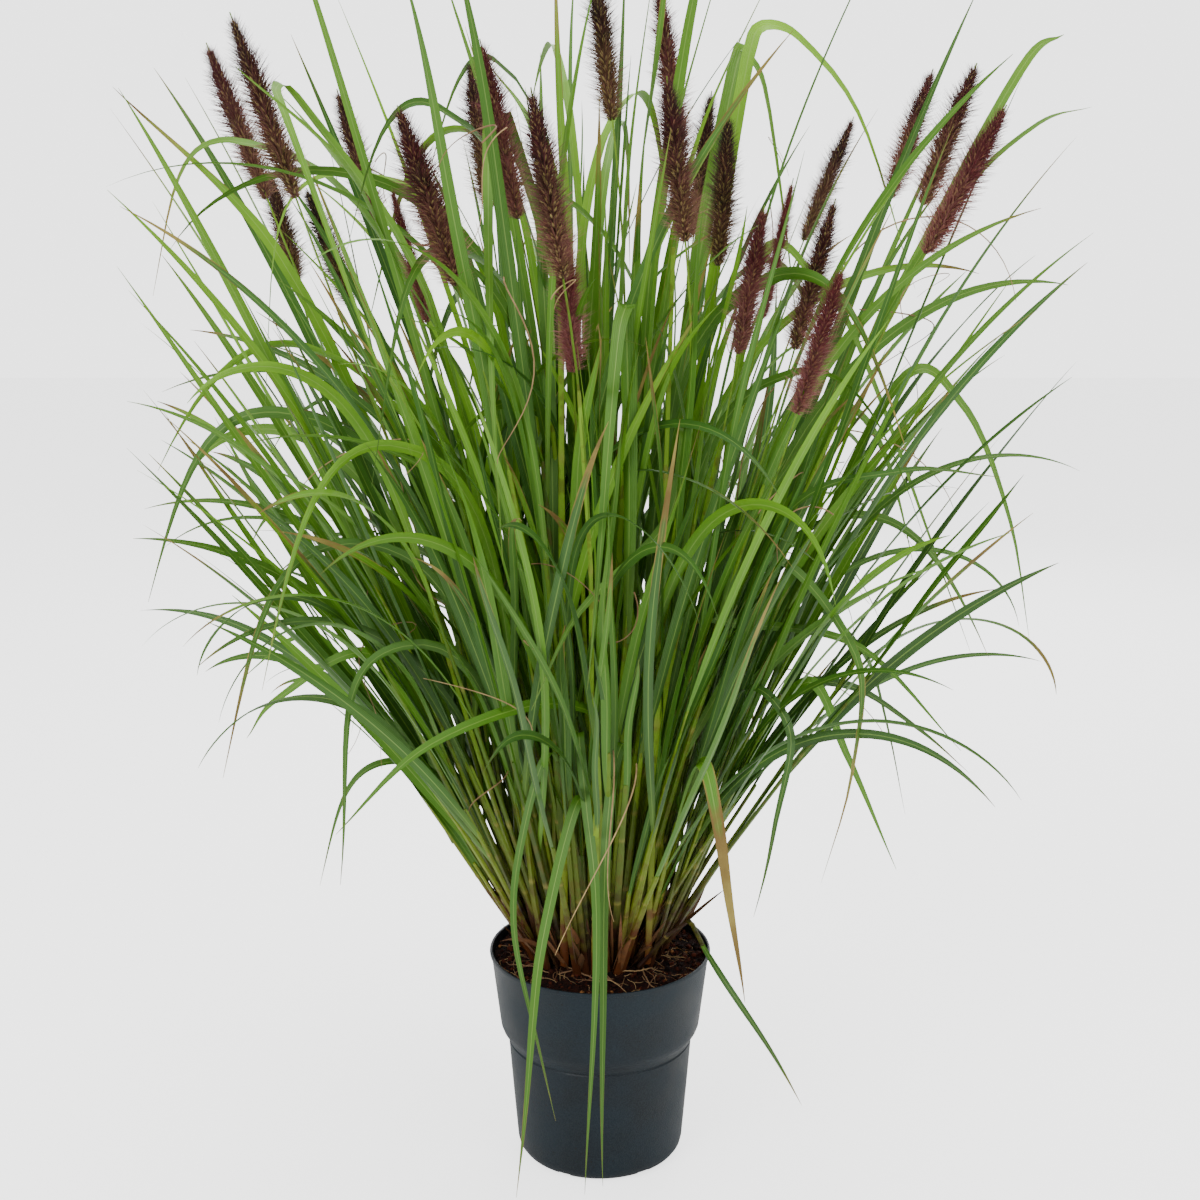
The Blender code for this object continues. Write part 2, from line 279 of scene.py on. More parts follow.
# %% Drying: brown that starts at the tip and creeps down the edges
drying, given, result = new_group(
    "drying",
    [
        ("Along", FLOAT, 0.0),
        ("Across", FLOAT, 0.5),
        ("Age", FLOAT, 0.5),
        ("Position", VECTOR, None),
    ],
    [("Dry", FLOAT)],
)
patches = add_node(
    drying, "ShaderNodeTexNoise", {"Vector": given["Position"], "Scale": 55.0, "Detail": 3.0}
)
ragged = maths(drying, "MULTIPLY", patches.outputs[0], 0.16)
edge = maths(drying, "ABSOLUTE", maths(drying, "SUBTRACT", given["Across"], 0.5))
edge = maths(drying, "POWER", maths(drying, "MULTIPLY", edge, 2.0), 5.0)
reach = maths(drying, "ADD", given["Along"], maths(drying, "MULTIPLY", edge, 0.22))
reach = maths(drying, "ADD", reach, ragged)
limit = maths(drying, "SUBTRACT", 1.22, maths(drying, "MULTIPLY", given["Age"], 0.62))
beyond = maths(drying, "SUBTRACT", reach, limit)
drying.links.new(ramp(drying, beyond, -0.05, 0.06), result["Dry"])

# %% Specks: scattered crumbs and dust
specks, given, result = new_group(
    "specks",
    [("Position", VECTOR, None), ("Spacing", FLOAT, 0.006), ("Amount", FLOAT, 0.3)],
    [("Speck", FLOAT)],
)
scale = maths(specks, "DIVIDE", 1.0, given["Spacing"])
cells = add_node(specks, "ShaderNodeTexVoronoi", {"Vector": given["Position"], "Scale": scale})
chosen = maths(specks, "LESS_THAN", cells.outputs["Color"], given["Amount"])
dot = maths(specks, "SUBTRACT", 1.0, ramp(specks, cells.outputs["Distance"], 0.10, 0.24))
specks.links.new(maths(specks, "MULTIPLY", dot, chosen), result["Speck"])


# %% A material starts with its Principled shader and the place on the piece
def new_finish(name):
    """Returns the material, its tree, its Principled inputs and the Object coordinates."""
    finish = bpy.data.materials.new(name)
    finish.use_nodes = True
    tree = finish.node_tree
    surface = tree.nodes["Principled BSDF"]
    place = add_node(tree, "ShaderNodeTexCoord").outputs["Object"]
    return finish, tree, surface.inputs, place


def use_group(tree, group, inputs):
    """Places a node group in a material and returns its outputs."""
    return add_node(tree, "ShaderNodeGroup", inputs, node_tree=group).outputs


def read(tree, name):
    """Reads one of the mesh's own attributes."""
    return add_node(tree, "ShaderNodeAttribute", attribute_name=name).outputs["Fac"]


def height_of(tree, place):
    """The height above the ground, from the Object coordinates."""
    return add_node(tree, "ShaderNodeSeparateXYZ", {0: place}).outputs["Z"]


def roughen(tree, inputs, height, strength, distance):
    """Turns a height into bumps."""
    values = {"Height": height, "Strength": strength, "Distance": distance}
    bump = add_node(tree, "ShaderNodeBump", values)
    tree.links.new(bump.outputs["Normal"], inputs["Normal"])


def paint(tree, inputs, colour, roughness, specular=0.5):
    """Links the colour, links or sets the roughness, and sets how strongly it reflects."""
    tree.links.new(colour, inputs["Base Color"])
    feed(tree, inputs["Roughness"], roughness)
    inputs["Specular IOR Level"].default_value = specular


# %% [markdown]
# ## Finishes
#
# A leaf is not one green. It is darker or more yellow from blade to blade, paler at its
# foot, greyer underneath, ribbed along its length and brown where it has dried.
# Each copy of a blade carries its own tone and age, and its distance along and across,
# as attributes of the mesh, and the material reads those.


# %% Colours as an artist mixes them, from 0 to 255
def tint(red, green, blue):
    """The linear colour of an everyday screen colour."""
    scaled = [channel / 255.0 for channel in (red, green, blue)]
    linear = [c / 12.92 if c < 0.04045 else ((c + 0.055) / 1.055) ** 2.4 for c in scaled]
    return (*linear, 1.0)


# %% Leaf
leaf_finish, tree, surface, place = new_finish("ribbed_green_leaf")
along, across = read(tree, "along"), read(tree, "across")
tone, age = read(tree, "tone"), read(tree, "age")
clouds = use_group(tree, mottle, {"Position": place, "Size": 0.05})["Cloud"]
lines = use_group(tree, ribs, {"Across": across, "Count": 8.0, "Middle Width": 0.055})
dry = use_group(tree, drying, {"Along": along, "Across": across, "Age": age, "Position": place})
shaded = blend(tree, tone, tint(12, 50, 2), tint(80, 132, 8))
sunlit = blend(tree, tone, tint(30, 80, 8), tint(136, 192, 16))
height = height_of(tree, place)
green = blend(tree, ramp(tree, height, 0.32, 0.86), shaded, sunlit)
green = blend(tree, maths(tree, "MULTIPLY", clouds, 0.26), green, tint(42, 102, 20))
stripe = maths(tree, "MULTIPLY", lines["Lines"], 0.22)
green = blend(tree, stripe, green, tint(112, 158, 52))
under = maths(tree, "MULTIPLY", read(tree, "underside"), 0.28)
green = blend(tree, under, green, tint(78, 126, 50))
rib = maths(tree, "MULTIPLY", lines["Middle"], 0.60)
green = blend(tree, rib, green, tint(150, 184, 84))
foot = maths(tree, "SUBTRACT", 1.0, ramp(tree, along, 0.0, 0.16))
green = blend(tree, maths(tree, "MULTIPLY", foot, 0.5), green, tint(104, 138, 44))
brown = blend(tree, clouds, tint(154, 138, 68), tint(112, 88, 40))
colour = blend(tree, dry["Dry"], green, brown)
shine = maths(tree, "MULTIPLY_ADD", dry["Dry"], 0.3, 0.45)
paint(tree, surface, colour, shine, specular=0.42)
roughen(tree, surface, lines["Lines"], 0.35, 0.0003)

# %% Stalk wrapped in sheaths: brown at the soil, darkened further there as painted shade, straw above it, then green
stalk_finish, tree, surface, place = new_finish("sheathed_stalk")
height = height_of(tree, place)
along, across = read(tree, "along"), read(tree, "across")
tone = read(tree, "tone")
clouds = use_group(tree, mottle, {"Position": place, "Size": 0.012})["Cloud"]
lines = use_group(tree, ribs, {"Across": across, "Count": 11.0, "Middle Width": 0.05})
wander = maths(tree, "MULTIPLY_ADD", clouds, 0.050, -0.025)
level = maths(tree, "ADD", height, wander)
straw = blend(tree, tone, tint(28, 44, 2), tint(116, 136, 22))
fresh = blend(tree, tone, tint(32, 78, 4), tint(120, 164, 30))
green = blend(tree, ramp(tree, level, 0.25, 0.42), straw, fresh)
green = blend(tree, maths(tree, "MULTIPLY", lines["Lines"], 0.22), green, tint(154, 172, 70))
streak = maths(tree, "MULTIPLY", ramp(tree, clouds, 0.55, 0.95), 0.45)
green = blend(tree, streak, green, tint(96, 74, 24))
# The brown near the soil is the stalk's own colour, made darker and carried higher up as painted
# shade for the shadowed foot of the clump.
brown = blend(tree, tone, tint(30, 11, 4), tint(92, 48, 18))
colour = blend(tree, ramp(tree, level, 0.195, 0.275), brown, green)
joint = maths(tree, "MULTIPLY", read(tree, "joint"), 0.4)
colour = blend(tree, joint, colour, tint(160, 144, 72))
paint(tree, surface, colour, 0.48, specular=0.32)
roughen(tree, surface, lines["Lines"], 0.3, 0.0003)

# %% Old papery sheaths round the foot of the clump
papery_finish, tree, surface, place = new_finish("old_papery_sheath")
along, tone = read(tree, "along"), read(tree, "tone")
lines = use_group(tree, ribs, {"Across": read(tree, "across"), "Count": 7.0})
clouds = use_group(tree, mottle, {"Position": place, "Size": 0.006})["Cloud"]
colour = blend(tree, tone, tint(44, 17, 6), tint(116, 66, 28))
colour = blend(tree, maths(tree, "MULTIPLY", clouds, 0.5), colour, tint(34, 13, 6))
colour = blend(tree, maths(tree, "MULTIPLY", lines["Lines"], 0.3), colour, tint(156, 118, 64))
paint(tree, surface, colour, 0.75)
roughen(tree, surface, lines["Lines"], 0.5, 0.0004)

# %% Bristles of the bottle brushes, and the husks of their florets
bristle_finish, tree, surface, place = new_finish("dark_bristle")
along, tone, age = read(tree, "along"), read(tree, "tone"), read(tree, "age")
dark = blend(tree, tone, tint(30, 17, 9), tint(114, 40, 48))
pale = blend(tree, tone, tint(140, 108, 66), tint(206, 140, 136))
dark = blend(tree, maths(tree, "MULTIPLY", age, 0.34), dark, pale)
tips = maths(tree, "MULTIPLY", ramp(tree, along, 0.25, 0.85), age)
colour = blend(tree, tips, dark, pale)
husk = blend(tree, tone, tint(190, 176, 108), tint(160, 96, 84))
floret = blend(tree, ramp(tree, along, 0.08, 0.24), tint(56, 32, 20), husk)
colour = blend(tree, read(tree, "floret"), colour, floret)
paint(tree, surface, colour, 0.62)

# %% Dry curled filaments and surface roots
fibre_finish, tree, surface, place = new_finish("dry_fibre")
clouds = use_group(tree, mottle, {"Position": place, "Size": 0.008})["Cloud"]
colour = blend(tree, read(tree, "tone"), tint(92, 54, 28), tint(182, 154, 104))
colour = blend(tree, maths(tree, "MULTIPLY", clouds, 0.45), colour, tint(84, 50, 28))
paint(tree, surface, colour, 0.75)
roughen(tree, surface, clouds, 0.3, 0.0003)

# %% Soil: dark damp peat with lighter crumbs
soil_finish, tree, surface, place = new_finish("peat_soil")
clouds = use_group(tree, mottle, {"Position": place, "Size": 0.006})["Cloud"]
fine = use_group(tree, mottle, {"Position": place, "Size": 0.0012})["Cloud"]
spots = use_group(tree, specks, {"Position": place, "Spacing": 0.003, "Amount": 0.12})["Speck"]
colour = blend(tree, clouds, tint(12, 4, 2), tint(50, 20, 10))
colour = blend(tree, maths(tree, "MULTIPLY", fine, 0.5), colour, tint(6, 2, 1))
colour = blend(tree, spots, colour, tint(104, 66, 34))
paint(tree, surface, colour, 0.92, specular=0.15)
roughen(tree, surface, maths(tree, "ADD", clouds, fine), 0.8, 0.0015)

# %% Crumbs, each with its own tone from black peat to tan wood
crumb_finish, tree, surface, place = new_finish("soil_crumb")
clouds = use_group(tree, mottle, {"Position": place, "Size": 0.002})["Cloud"]
colour = blend(tree, read(tree, "tone"), tint(10, 3, 2), tint(82, 34, 16))
colour = blend(tree, ramp(tree, read(tree, "tone"), 0.90, 1.0), colour, tint(146, 98, 54))
colour = blend(tree, maths(tree, "MULTIPLY", clouds, 0.5), colour, tint(20, 9, 5))
paint(tree, surface, colour, 0.9, specular=0.15)
roughen(tree, surface, clouds, 0.6, 0.0006)

# %% Pot: matt slate plastic, scuffed paler on the collar, dusted and splashed with soil
pot_finish, tree, surface, place = new_finish("slate_plastic")
height = height_of(tree, place)
clouds = use_group(tree, mottle, {"Position": place, "Size": 0.04, "Detail": 6.0})["Cloud"]
grain = use_group(tree, mottle, {"Position": place, "Size": 0.0011, "Detail": 2.0})["Cloud"]
dust = use_group(tree, specks, {"Position": place, "Spacing": 0.0052, "Amount": 0.25})["Speck"]
mud = use_group(tree, specks, {"Position": place, "Spacing": 0.012, "Amount": 0.10})["Speck"]
slate = blend(tree, clouds, tint(2, 13, 20), tint(6, 23, 32))
scuff = maths(tree, "MULTIPLY", ramp(tree, height, 0.10, 0.18), 0.05)
slate = blend(tree, scuff, slate, tint(38, 62, 72))
slate = blend(tree, maths(tree, "MULTIPLY", grain, 0.10), slate, tint(70, 82, 88))
slate = blend(tree, maths(tree, "MULTIPLY", dust, 0.65), slate, tint(12, 9, 8))
slate = blend(tree, maths(tree, "MULTIPLY", mud, 0.8), slate, tint(66, 42, 26))
shine = maths(tree, "MULTIPLY_ADD", clouds, 0.12, 0.40)
paint(tree, surface, slate, shine, specular=0.29)
roughen(tree, surface, maths(tree, "ADD", grain, maths(tree, "MULTIPLY", mud, 3.0)), 0.18, 0.0005)
print("Finishes ready:", len(bpy.data.materials))

# %% [markdown]
# ## The pot
#
# A nursery pot is one thin moulded shell: a round base, a tapered body, a soft shoulder,
# and a wider collar that ends in a thin rim. It starts as a filled circle. The face is
# extruded up and resized ring by ring, over the rim and back down inside, as a potter
# draws up clay. The drainage notches are cut last with a Boolean.

# %% Draw up the shell
POT_PROFILE = [
    (0.0610, 0.0000),
    (0.0655, 0.0008),
    (0.0690, 0.0032),
    (0.0712, 0.0064),
    (0.0723, 0.0110),
    (0.0761, 0.0570),
    (0.0796, 0.1026),
    (0.0788, 0.1036),
    (0.0788, 0.1046),
    (0.0802, 0.1056),
    (0.0808, 0.1080),
    (0.0826, 0.1112),
    (0.0848, 0.1142),
    (0.0862, 0.1180),
    (0.0868, 0.1225),
    (0.0935, 0.1790),
    (0.0939, 0.1812),
    (0.0950, 0.1818),
    (0.0953, 0.1834),
    (0.0949, 0.1848),
    (0.0939, 0.1850),
    (0.0931, 0.1846),
    (0.0928, 0.1830),
    (0.0851, 0.1190),
    (0.0838, 0.1150),
    (0.0790, 0.1075),
    (0.0712, 0.0120),
    (0.0690, 0.0050),
    (0.0610, 0.0022),
]
bpy.ops.mesh.primitive_circle_add(vertices=112, radius=POT_PROFILE[0][0], fill_type="NGON")
pot = bpy.context.object
pot.name = "moulded_pot"
bpy.ops.object.mode_set(mode="EDIT")
bpy.ops.mesh.select_all(action="SELECT")
draw_up(POT_PROFILE)
bpy.ops.object.mode_set(mode="OBJECT")
faces_outwards(pot)

# %% Cut the drainage notches
NOTCHES = 6
FIRST_NOTCH = math.radians(57.0)
NOTCH_REACH = 0.070
NOTCH_SIZE = (0.0160, 0.0130, 0.0044)
bpy.ops.object.select_all(action="DESELECT")
for step in range(NOTCHES):
    turn = math.tau * step / NOTCHES - FIRST_NOTCH
    spot = (NOTCH_REACH * math.cos(turn), NOTCH_REACH * math.sin(turn), 0.0020)
    bpy.ops.mesh.primitive_cube_add(size=1.0, location=spot, rotation=(0, 0, turn))
    notch = bpy.context.object
    notch.scale = NOTCH_SIZE
    bpy.ops.object.transform_apply(location=True, rotation=True, scale=True)
    only(pot)
    cut = pot.modifiers.new("notch", "BOOLEAN")
    cut.operation = "DIFFERENCE"
    cut.object = notch
    bpy.ops.object.modifier_apply(modifier=cut.name)
    bpy.data.objects.remove(notch)
only(pot)
bpy.ops.object.shade_smooth_by_angle(angle=math.radians(38))
pot.data.materials.clear()
pot.data.materials.append(pot_finish)
finish_piece(pot, "pot_plastic", "pot")
print("The pot has", len(pot.data.polygons), "faces")

# %% [markdown]
# ## The soil
#
# Damp peat is lumpy, never flat. A cylinder's top face is inset into rings, and smooth
# noise moves their points up and down. Loose crumbs are dropped on near the end.

# %% Lumpy bed of peat
SOIL_RADIUS = 0.0915
SOIL_TOP = 0.1775
SOIL_DEPTH = 0.030
SOIL_RINGS = 30
bpy.ops.object.select_all(action="DESELECT")
middle = (0, 0, SOIL_TOP - SOIL_DEPTH / 2)
bpy.ops.mesh.primitive_cylinder_add(
    vertices=120, radius=SOIL_RADIUS, depth=SOIL_DEPTH, location=middle
)
soil = bpy.context.object
soil.name = "peat_bed"
bpy.ops.object.transform_apply(location=True)
bpy.ops.object.mode_set(mode="EDIT")
pick_faces(lambda middle, normal: normal.z > 0.9)
for _ in range(SOIL_RINGS):
    bpy.ops.mesh.inset(thickness=0.0029)
pick_points(lambda at: at.z < SOIL_TOP - 0.02)
bpy.ops.transform.resize(value=(0.955, 0.955, 1), center_override=(0, 0, 0))
bpy.ops.object.mode_set(mode="OBJECT")
for point in soil.data.vertices:
    if point.co.z > SOIL_TOP - 0.001:
        away = point.co.xy.length / SOIL_RADIUS
        swell = 0.0045 * (1.0 - away * away)
        lumps = noise.noise(point.co * 90.0) * 0.0028 + noise.noise(point.co * 260.0) * 0.0016
        crumbs = noise.noise(point.co * 700.0) * 0.0009
        point.co.z += swell + (lumps + crumbs) * min(1.0, 6.0 * (1.02 - away))
soil.data.materials.append(soil_finish)
only(soil)
bpy.ops.object.shade_smooth_by_angle(angle=math.radians(60))
finish_piece(soil, "potting_soil", "soil")
print("The soil has", len(soil.data.polygons), "faces")

# %% [markdown]
# ## Shapes that repeat
#
# The clump has hundreds of blades, but only five shapes: a blade, a stalk, a fibre,
# a spikelet and a crumb. Each is modelled once, standing along Z from 0 to 1, and is
# made to its real width when it is copied. Few faces are enough for so many copies.


# %% Start a shape from a flat section
def add_section(corners, radius, flat):
    """A filled ring on the ground, flattened front to back, left open in edit mode."""
    bpy.ops.object.select_all(action="DESELECT")
    bpy.ops.mesh.primitive_circle_add(vertices=corners, radius=radius, fill_type="NGON")
    section = bpy.context.object
    bpy.ops.object.mode_set(mode="EDIT")
    bpy.ops.mesh.select_all(action="SELECT")
    bpy.ops.transform.resize(value=(1, flat, 1), center_override=(0, 0, 0))
    return section


def take_shape(model, is_round=False):
    """Leaves edit mode, and reads the shape and where each point lies on it."""
    bpy.ops.object.mode_set(mode="OBJECT")
    faces_outwards(model)
    mesh = model.data
    points = np.array([vertex.co[:] for vertex in mesh.vertices])
    normals = np.array([vertex.normal[:] for vertex in mesh.vertices])
    level = np.round(points[:, 2], 3)
    half = np.array([max(abs(points[level == height, 0]).max(), 1e-4) for height in level])
    across = 0.5 + 0.5 * points[:, 0] / half
    if is_round:
        across = abs(np.arctan2(points[:, 1], points[:, 0])) / math.pi
    shape = {
        "points": points,
        "loops": np.array([corner for face in mesh.polygons for corner in face.vertices]),
        "sizes": np.array([face.loop_total for face in mesh.polygons]),
        "marks": {
            "along": points[:, 2].clip(0.0, 1.0),
            "across": across,
            "underside": (normals[:, 1] < -0.2).astype(float),
        },
    }
    bpy.data.objects.remove(model)
    return shape


# %% Blade: a folded strip, broad in its lower half, drawn out to a long point
def fullness(height):
    """How wide a blade is at each height, as a share of its greatest width."""
    neck = 0.52 + 0.48 * math.sin(0.5 * math.pi * min(1.0, height / 0.30))
    taper = 1.0 - max(0.0, (height - 0.30) / 0.70) ** 2.6
    return max(0.03, neck * taper)


BLADE_STEPS = 30
FOLD = 0.15
blade_model = add_section(4, 0.5, 0.06)
pick_points(lambda at: abs(at.x) < 0.1)
bpy.ops.transform.translate(value=(0, -FOLD, 0))
bpy.ops.mesh.select_all(action="SELECT")
first = fullness(0.0)
bpy.ops.transform.resize(value=(first, first, 1), center_override=(0, 0, 0))
heights = [step / BLADE_STEPS for step in range(BLADE_STEPS + 1)]
draw_up([(fullness(height), height) for height in heights])
blade = take_shape(blade_model)
print("The blade has", len(blade["sizes"]), "faces")

# %% Stalk: three lengths of sheath, each starting in a swollen joint
JOINTS = ((0.00, 1.00), (0.36, 0.82), (0.70, 0.64))
steps = []
for height, girth in JOINTS:
    steps += [
        (0.46 * girth, height),
        (0.54 * girth, height + 0.012),
        (0.48 * girth, height + 0.030),
        (0.45 * girth, height + 0.290),
    ]
steps[0] = (0.46, 0.0)
stalk_model = add_section(6, 0.46, 0.72)
draw_up([*steps, (0.20, 1.0)])
stalk = take_shape(stalk_model, is_round=True)
levels = stalk["points"][:, 2]
from_joint = [abs(levels - height - 0.012) < 0.004 for height, _ in JOINTS[1:]]
stalk["marks"]["joint"] = np.any(from_joint, axis=0).astype(float)
print("The stalk has", len(stalk["sizes"]), "faces")

# %% Fibre: a thin tapered thread, for filaments, roots and flowering stems
FIBRE_STOPS = 19
fibre_model = add_section(4, 0.5, 1.0)
heights = [step / (FIBRE_STOPS - 1) for step in range(FIBRE_STOPS)]
draw_up([(0.5 - 0.3 * height**2, height) for height in heights])
fibre = take_shape(fibre_model, is_round=True)
print("The fibre has", len(fibre["sizes"]), "faces")

# %% Spikelet: a small pointed floret inside a whorl of stiff bristles
BRISTLES = 9
BRISTLE_RADIUS = 0.0160
spikelet_model = add_section(4, 0.026, 0.8)
draw_up([(0.026, 0.0), (0.040, 0.09), (0.043, 0.25), (0.007, 0.40)])
body_points = len(bmesh.from_edit_mesh(spikelet_model.data).verts)
for bristle in range(BRISTLES):
    turn = math.tau * bristle / BRISTLES + 0.3
    tilt = math.radians(14.0 + 9.0 * (bristle * 5 % 3))
    length = 0.70 + 0.10 * (bristle * 3 % 4)
    aside, ahead = math.sin(tilt), math.cos(tilt)
    out = Vector((aside * math.cos(turn), aside * math.sin(turn), ahead))
    bpy.ops.mesh.primitive_cone_add(
        vertices=3,
        radius1=BRISTLE_RADIUS,
        radius2=0,
        depth=length,
        location=out * (0.05 + 0.5 * length),
        rotation=(0, tilt, turn),
    )
spikelet = take_shape(spikelet_model, is_round=True)
spikelet["marks"]["floret"] = (np.arange(len(spikelet["points"])) < body_points).astype(float)
print("The spikelet has", len(spikelet["sizes"]), "faces")

# %% Crumb: a rough lump with one drawn-out corner
bpy.ops.object.select_all(action="DESELECT")
bpy.ops.mesh.primitive_ico_sphere_add(subdivisions=1, radius=0.5, location=(0, 0, 0.5))
crumb_model = bpy.context.object
bpy.ops.object.transform_apply(location=True)
bpy.ops.object.mode_set(mode="EDIT")
pick_faces(lambda middle, normal: normal.x > 0.75)
bpy.ops.transform.translate(value=(0.16, 0.05, 0.08))
pick_faces(lambda middle, normal: normal.y < -0.7)
bpy.ops.transform.resize(value=(0.6, 1.0, 1.3))
pick_points(lambda at: at.z > 0.9)
bpy.ops.transform.translate(value=(-0.12, 0.08, -0.18))
crumb = take_shape(crumb_model)
print("The crumb has", len(crumb["sizes"]), "faces")

# %% [markdown]
# ## Carrying copies along routes
#
# A Curve modifier could bend one blade along one curve, but six hundred of them would be
# slow and hard to keep tidy. Every route here is a row of stops, and one function
# sets each copy's points out around its own route: its Z runs along the route,
# its X lies across and its Y stands up from it. The copies are real mesh, and their
# tone and age are kept as attributes for the finishes to read.


# %% Set out copies of a shape
def normalised(field):
    """Rows of directions, each made one metre long."""
    return field / np.maximum(np.linalg.norm(field, axis=-1, keepdims=True), 1e-9)


def carry(name, shape, routes, widths, finish, tones, ages=0.5, rolls=0.0, headings=None):
    """Makes one object that holds a copy of the shape on each route."""
    routes = np.asarray(routes, float)
    copies, stops = routes.shape[:2]
    ahead = normalised(np.gradient(routes, axis=1))
    if headings is None:
        headings = (routes[:, -1] - routes[:, 0]) * (1, 1, 0) + (1e-6, 0, 0)
    side = np.cross((0, 0, 1), normalised(headings))[:, None, :]
    side = normalised(side - (side * ahead).sum(axis=-1, keepdims=True) * ahead)
    up = np.cross(ahead, side)
    rolls = np.broadcast_to(np.asarray(rolls, float), (copies, stops))[..., None]
    side, up = side * np.cos(rolls) + up * np.sin(rolls), up * np.cos(rolls) - side * np.sin(rolls)

    points = shape["points"]
    stop = points[:, 2] * (stops - 1)
    low = stop.astype(int).clip(0, stops - 2)
    share = (stop - low)[None, :, None]
    spots = routes[:, low] * (1 - share) + routes[:, low + 1] * share
    across = side[:, low] * (1 - share) + side[:, low + 1] * share
    above = up[:, low] * (1 - share) + up[:, low + 1] * share
    widths = np.broadcast_to(np.asarray(widths, float), (copies,))[:, None, None]
    spots += widths * (across * points[:, 0][None, :, None] + above * points[:, 1][None, :, None])

    count = len(points)
    mesh = bpy.data.meshes.new(name)
    loops = (shape["loops"][None, :] + np.arange(copies)[:, None] * count).ravel()
    sizes = np.tile(shape["sizes"], copies)
    mesh.vertices.add(copies * count)
    mesh.loops.add(len(loops))
    mesh.polygons.add(len(sizes))
    mesh.vertices.foreach_set("co", spots.astype(np.float32).ravel())
    mesh.loops.foreach_set("vertex_index", loops.astype(np.int32))
    mesh.polygons.foreach_set("loop_start", (np.cumsum(sizes) - sizes).astype(np.int32))
    mesh.update(calc_edges=True)
    marks = {label: np.tile(values, copies) for label, values in shape["marks"].items()}
    for label, values in (("tone", tones), ("age", ages)):
        marks[label] = np.repeat(np.broadcast_to(np.asarray(values, float), (copies,)), count)
    for label, values in marks.items():
        attribute = mesh.attributes.new(label, "FLOAT", "POINT")
        attribute.data.foreach_set("value", values.astype(np.float32))
    obj = bpy.data.objects.new(name, mesh)
    bpy.context.scene.collection.objects.link(obj)
    mesh.materials.append(finish)
    only(obj)
    bpy.ops.object.shade_smooth_by_angle(angle=math.radians(48))
    return obj


# %% [markdown]
# ## Routes
#
# A leaf leaves its stalk almost in line with it and then its own weight bends it more and
# more towards the tip. So a route is a starting lean, and a bend that grows along
# the length. Leaves that would leave the clump's outline, or run into the pot, are
# shortened until they clear it.

# %% The crown that everything grows from, and lines through space
CROWN_CENTRE = Vector((-0.004, 0.010, 0.0))
CROWN_TOP = 0.187
GAP = 0.0003
FOOT_SHARE = 0.185
LEAF_STOPS = 31
STALK_STOPS = 12


def outward(azimuth, reach=1.0):
    """A level step away from the crown, at an azimuth in degrees."""
    return Vector((math.cos(math.radians(azimuth)), math.sin(math.radians(azimuth)), 0)) * reach


def upright(height):
    """A step straight up."""
    return Vector((0, 0, height))


def polar(azimuth, reach, height):
    """A place given from the middle of the crown."""
    return CROWN_CENTRE + outward(azimuth, reach) + upright(height)


def at_marks(wanted, marks, route):
    """Places along a route, found between its marks."""
    return np.stack([np.interp(wanted, marks, route[:, axis]) for axis in range(3)], axis=1)


def even(knots, stops):
    """Sets stops evenly along a line of knots."""
    knots = np.array([knot[:] for knot in knots], float)
    lengths = np.linalg.norm(np.diff(knots, axis=0), axis=1)
    run = np.concatenate([[0.0], np.cumsum(lengths)])
    return at_marks(np.linspace(0.0, run[-1], stops), run, knots)


def flowing(knots):
    """A smooth line through a few knots."""
    line = []
    padded = [2 * knots[0] - knots[1], *knots, 2 * knots[-1] - knots[-2]]
    for before, start, end, after in zip(padded, padded[1:], padded[2:], padded[3:]):
        first_handle = start + (end - before) / 6
        last_handle = end - (after - start) / 6
        line += interpolate_bezier(start, first_handle, last_handle, end, 12)[:-1]
    return [*line, knots[-1]]


def piece_of(route, start, end, stops):
    """The part of a route between two shares of its length, with its own stops."""
    wanted = np.linspace(start, end, stops) * (len(route) - 1)
    return at_marks(wanted, np.arange(len(route)), route)


def gathered(route, stops, share=0.45):
    """Sets stops along a route again, closer together where it bends."""
    strides = np.diff(route, axis=0)
    lengths = np.linalg.norm(strides, axis=1)
    ahead = normalised(strides)
    bends = np.arccos((ahead[1:] * ahead[:-1]).sum(axis=1).clip(-1.0, 1.0))
    bends = np.concatenate([[0.0], bends])
    effort = (1 - share) * lengths / lengths.sum() + share * bends / max(bends.sum(), 0.6)
    run = np.concatenate([[0.0], np.cumsum(effort)])
    return at_marks(np.linspace(0.0, run[-1], stops), run, route)


# %% A leaf that bends under its own weight
def grow(start, lean, heading, length, bend, late=1.6, swing=0.0, stops=LEAF_STOPS):
    """A route from a start, with lean, heading, bend and swing in radians."""
    share = np.linspace(0.0, 1.0, stops)
    angle = lean + bend * share**late
    turn = heading + swing * share
    ahead = np.stack(
        [np.sin(angle) * np.cos(turn), np.sin(angle) * np.sin(turn), np.cos(angle)], axis=1
    )
    strides = 0.5 * (ahead[1:] + ahead[:-1]) * length / (stops - 1)
    return np.asarray(start, float) + np.vstack([np.zeros(3), np.cumsum(strides, axis=0)])


# The outline of the clump, and the pot that no leaf may enter.
HALF_ACROSS, HALF_DEEP = 0.378, 0.335
HIGHEST, LOWEST = 1.035, 0.035
CLEAR_OF_POT, OVER_RIM = 0.104, 0.192
MOST_TRIES = 14


def clear_share(route):
    """How much of a route stays inside the clump's outline and clear of the pot."""
    x, y, z = route.T
    in_oval = (x / HALF_ACROSS) ** 2 + (y / HALF_DEEP) ** 2 < 1.0
    off_pot = (np.hypot(x, y) > CLEAR_OF_POT) | (z > OVER_RIM)
    clear = in_oval & (z < HIGHEST) & (z > LOWEST) & off_pot
    return 1.0 if clear.all() else float(np.argmin(clear)) / (len(route) - 1)


def grow_clear(start, lean, heading, length, bend, late, swing):
    """Grows a leaf and shortens it until it is clear."""
    for _ in range(MOST_TRIES):
        route = grow(start, lean, heading, length, bend, late, swing, stops=81)
        share = clear_share(route)
        if share == 1.0:
            return route
        length *= max(0.3, 0.97 * share)
    return route


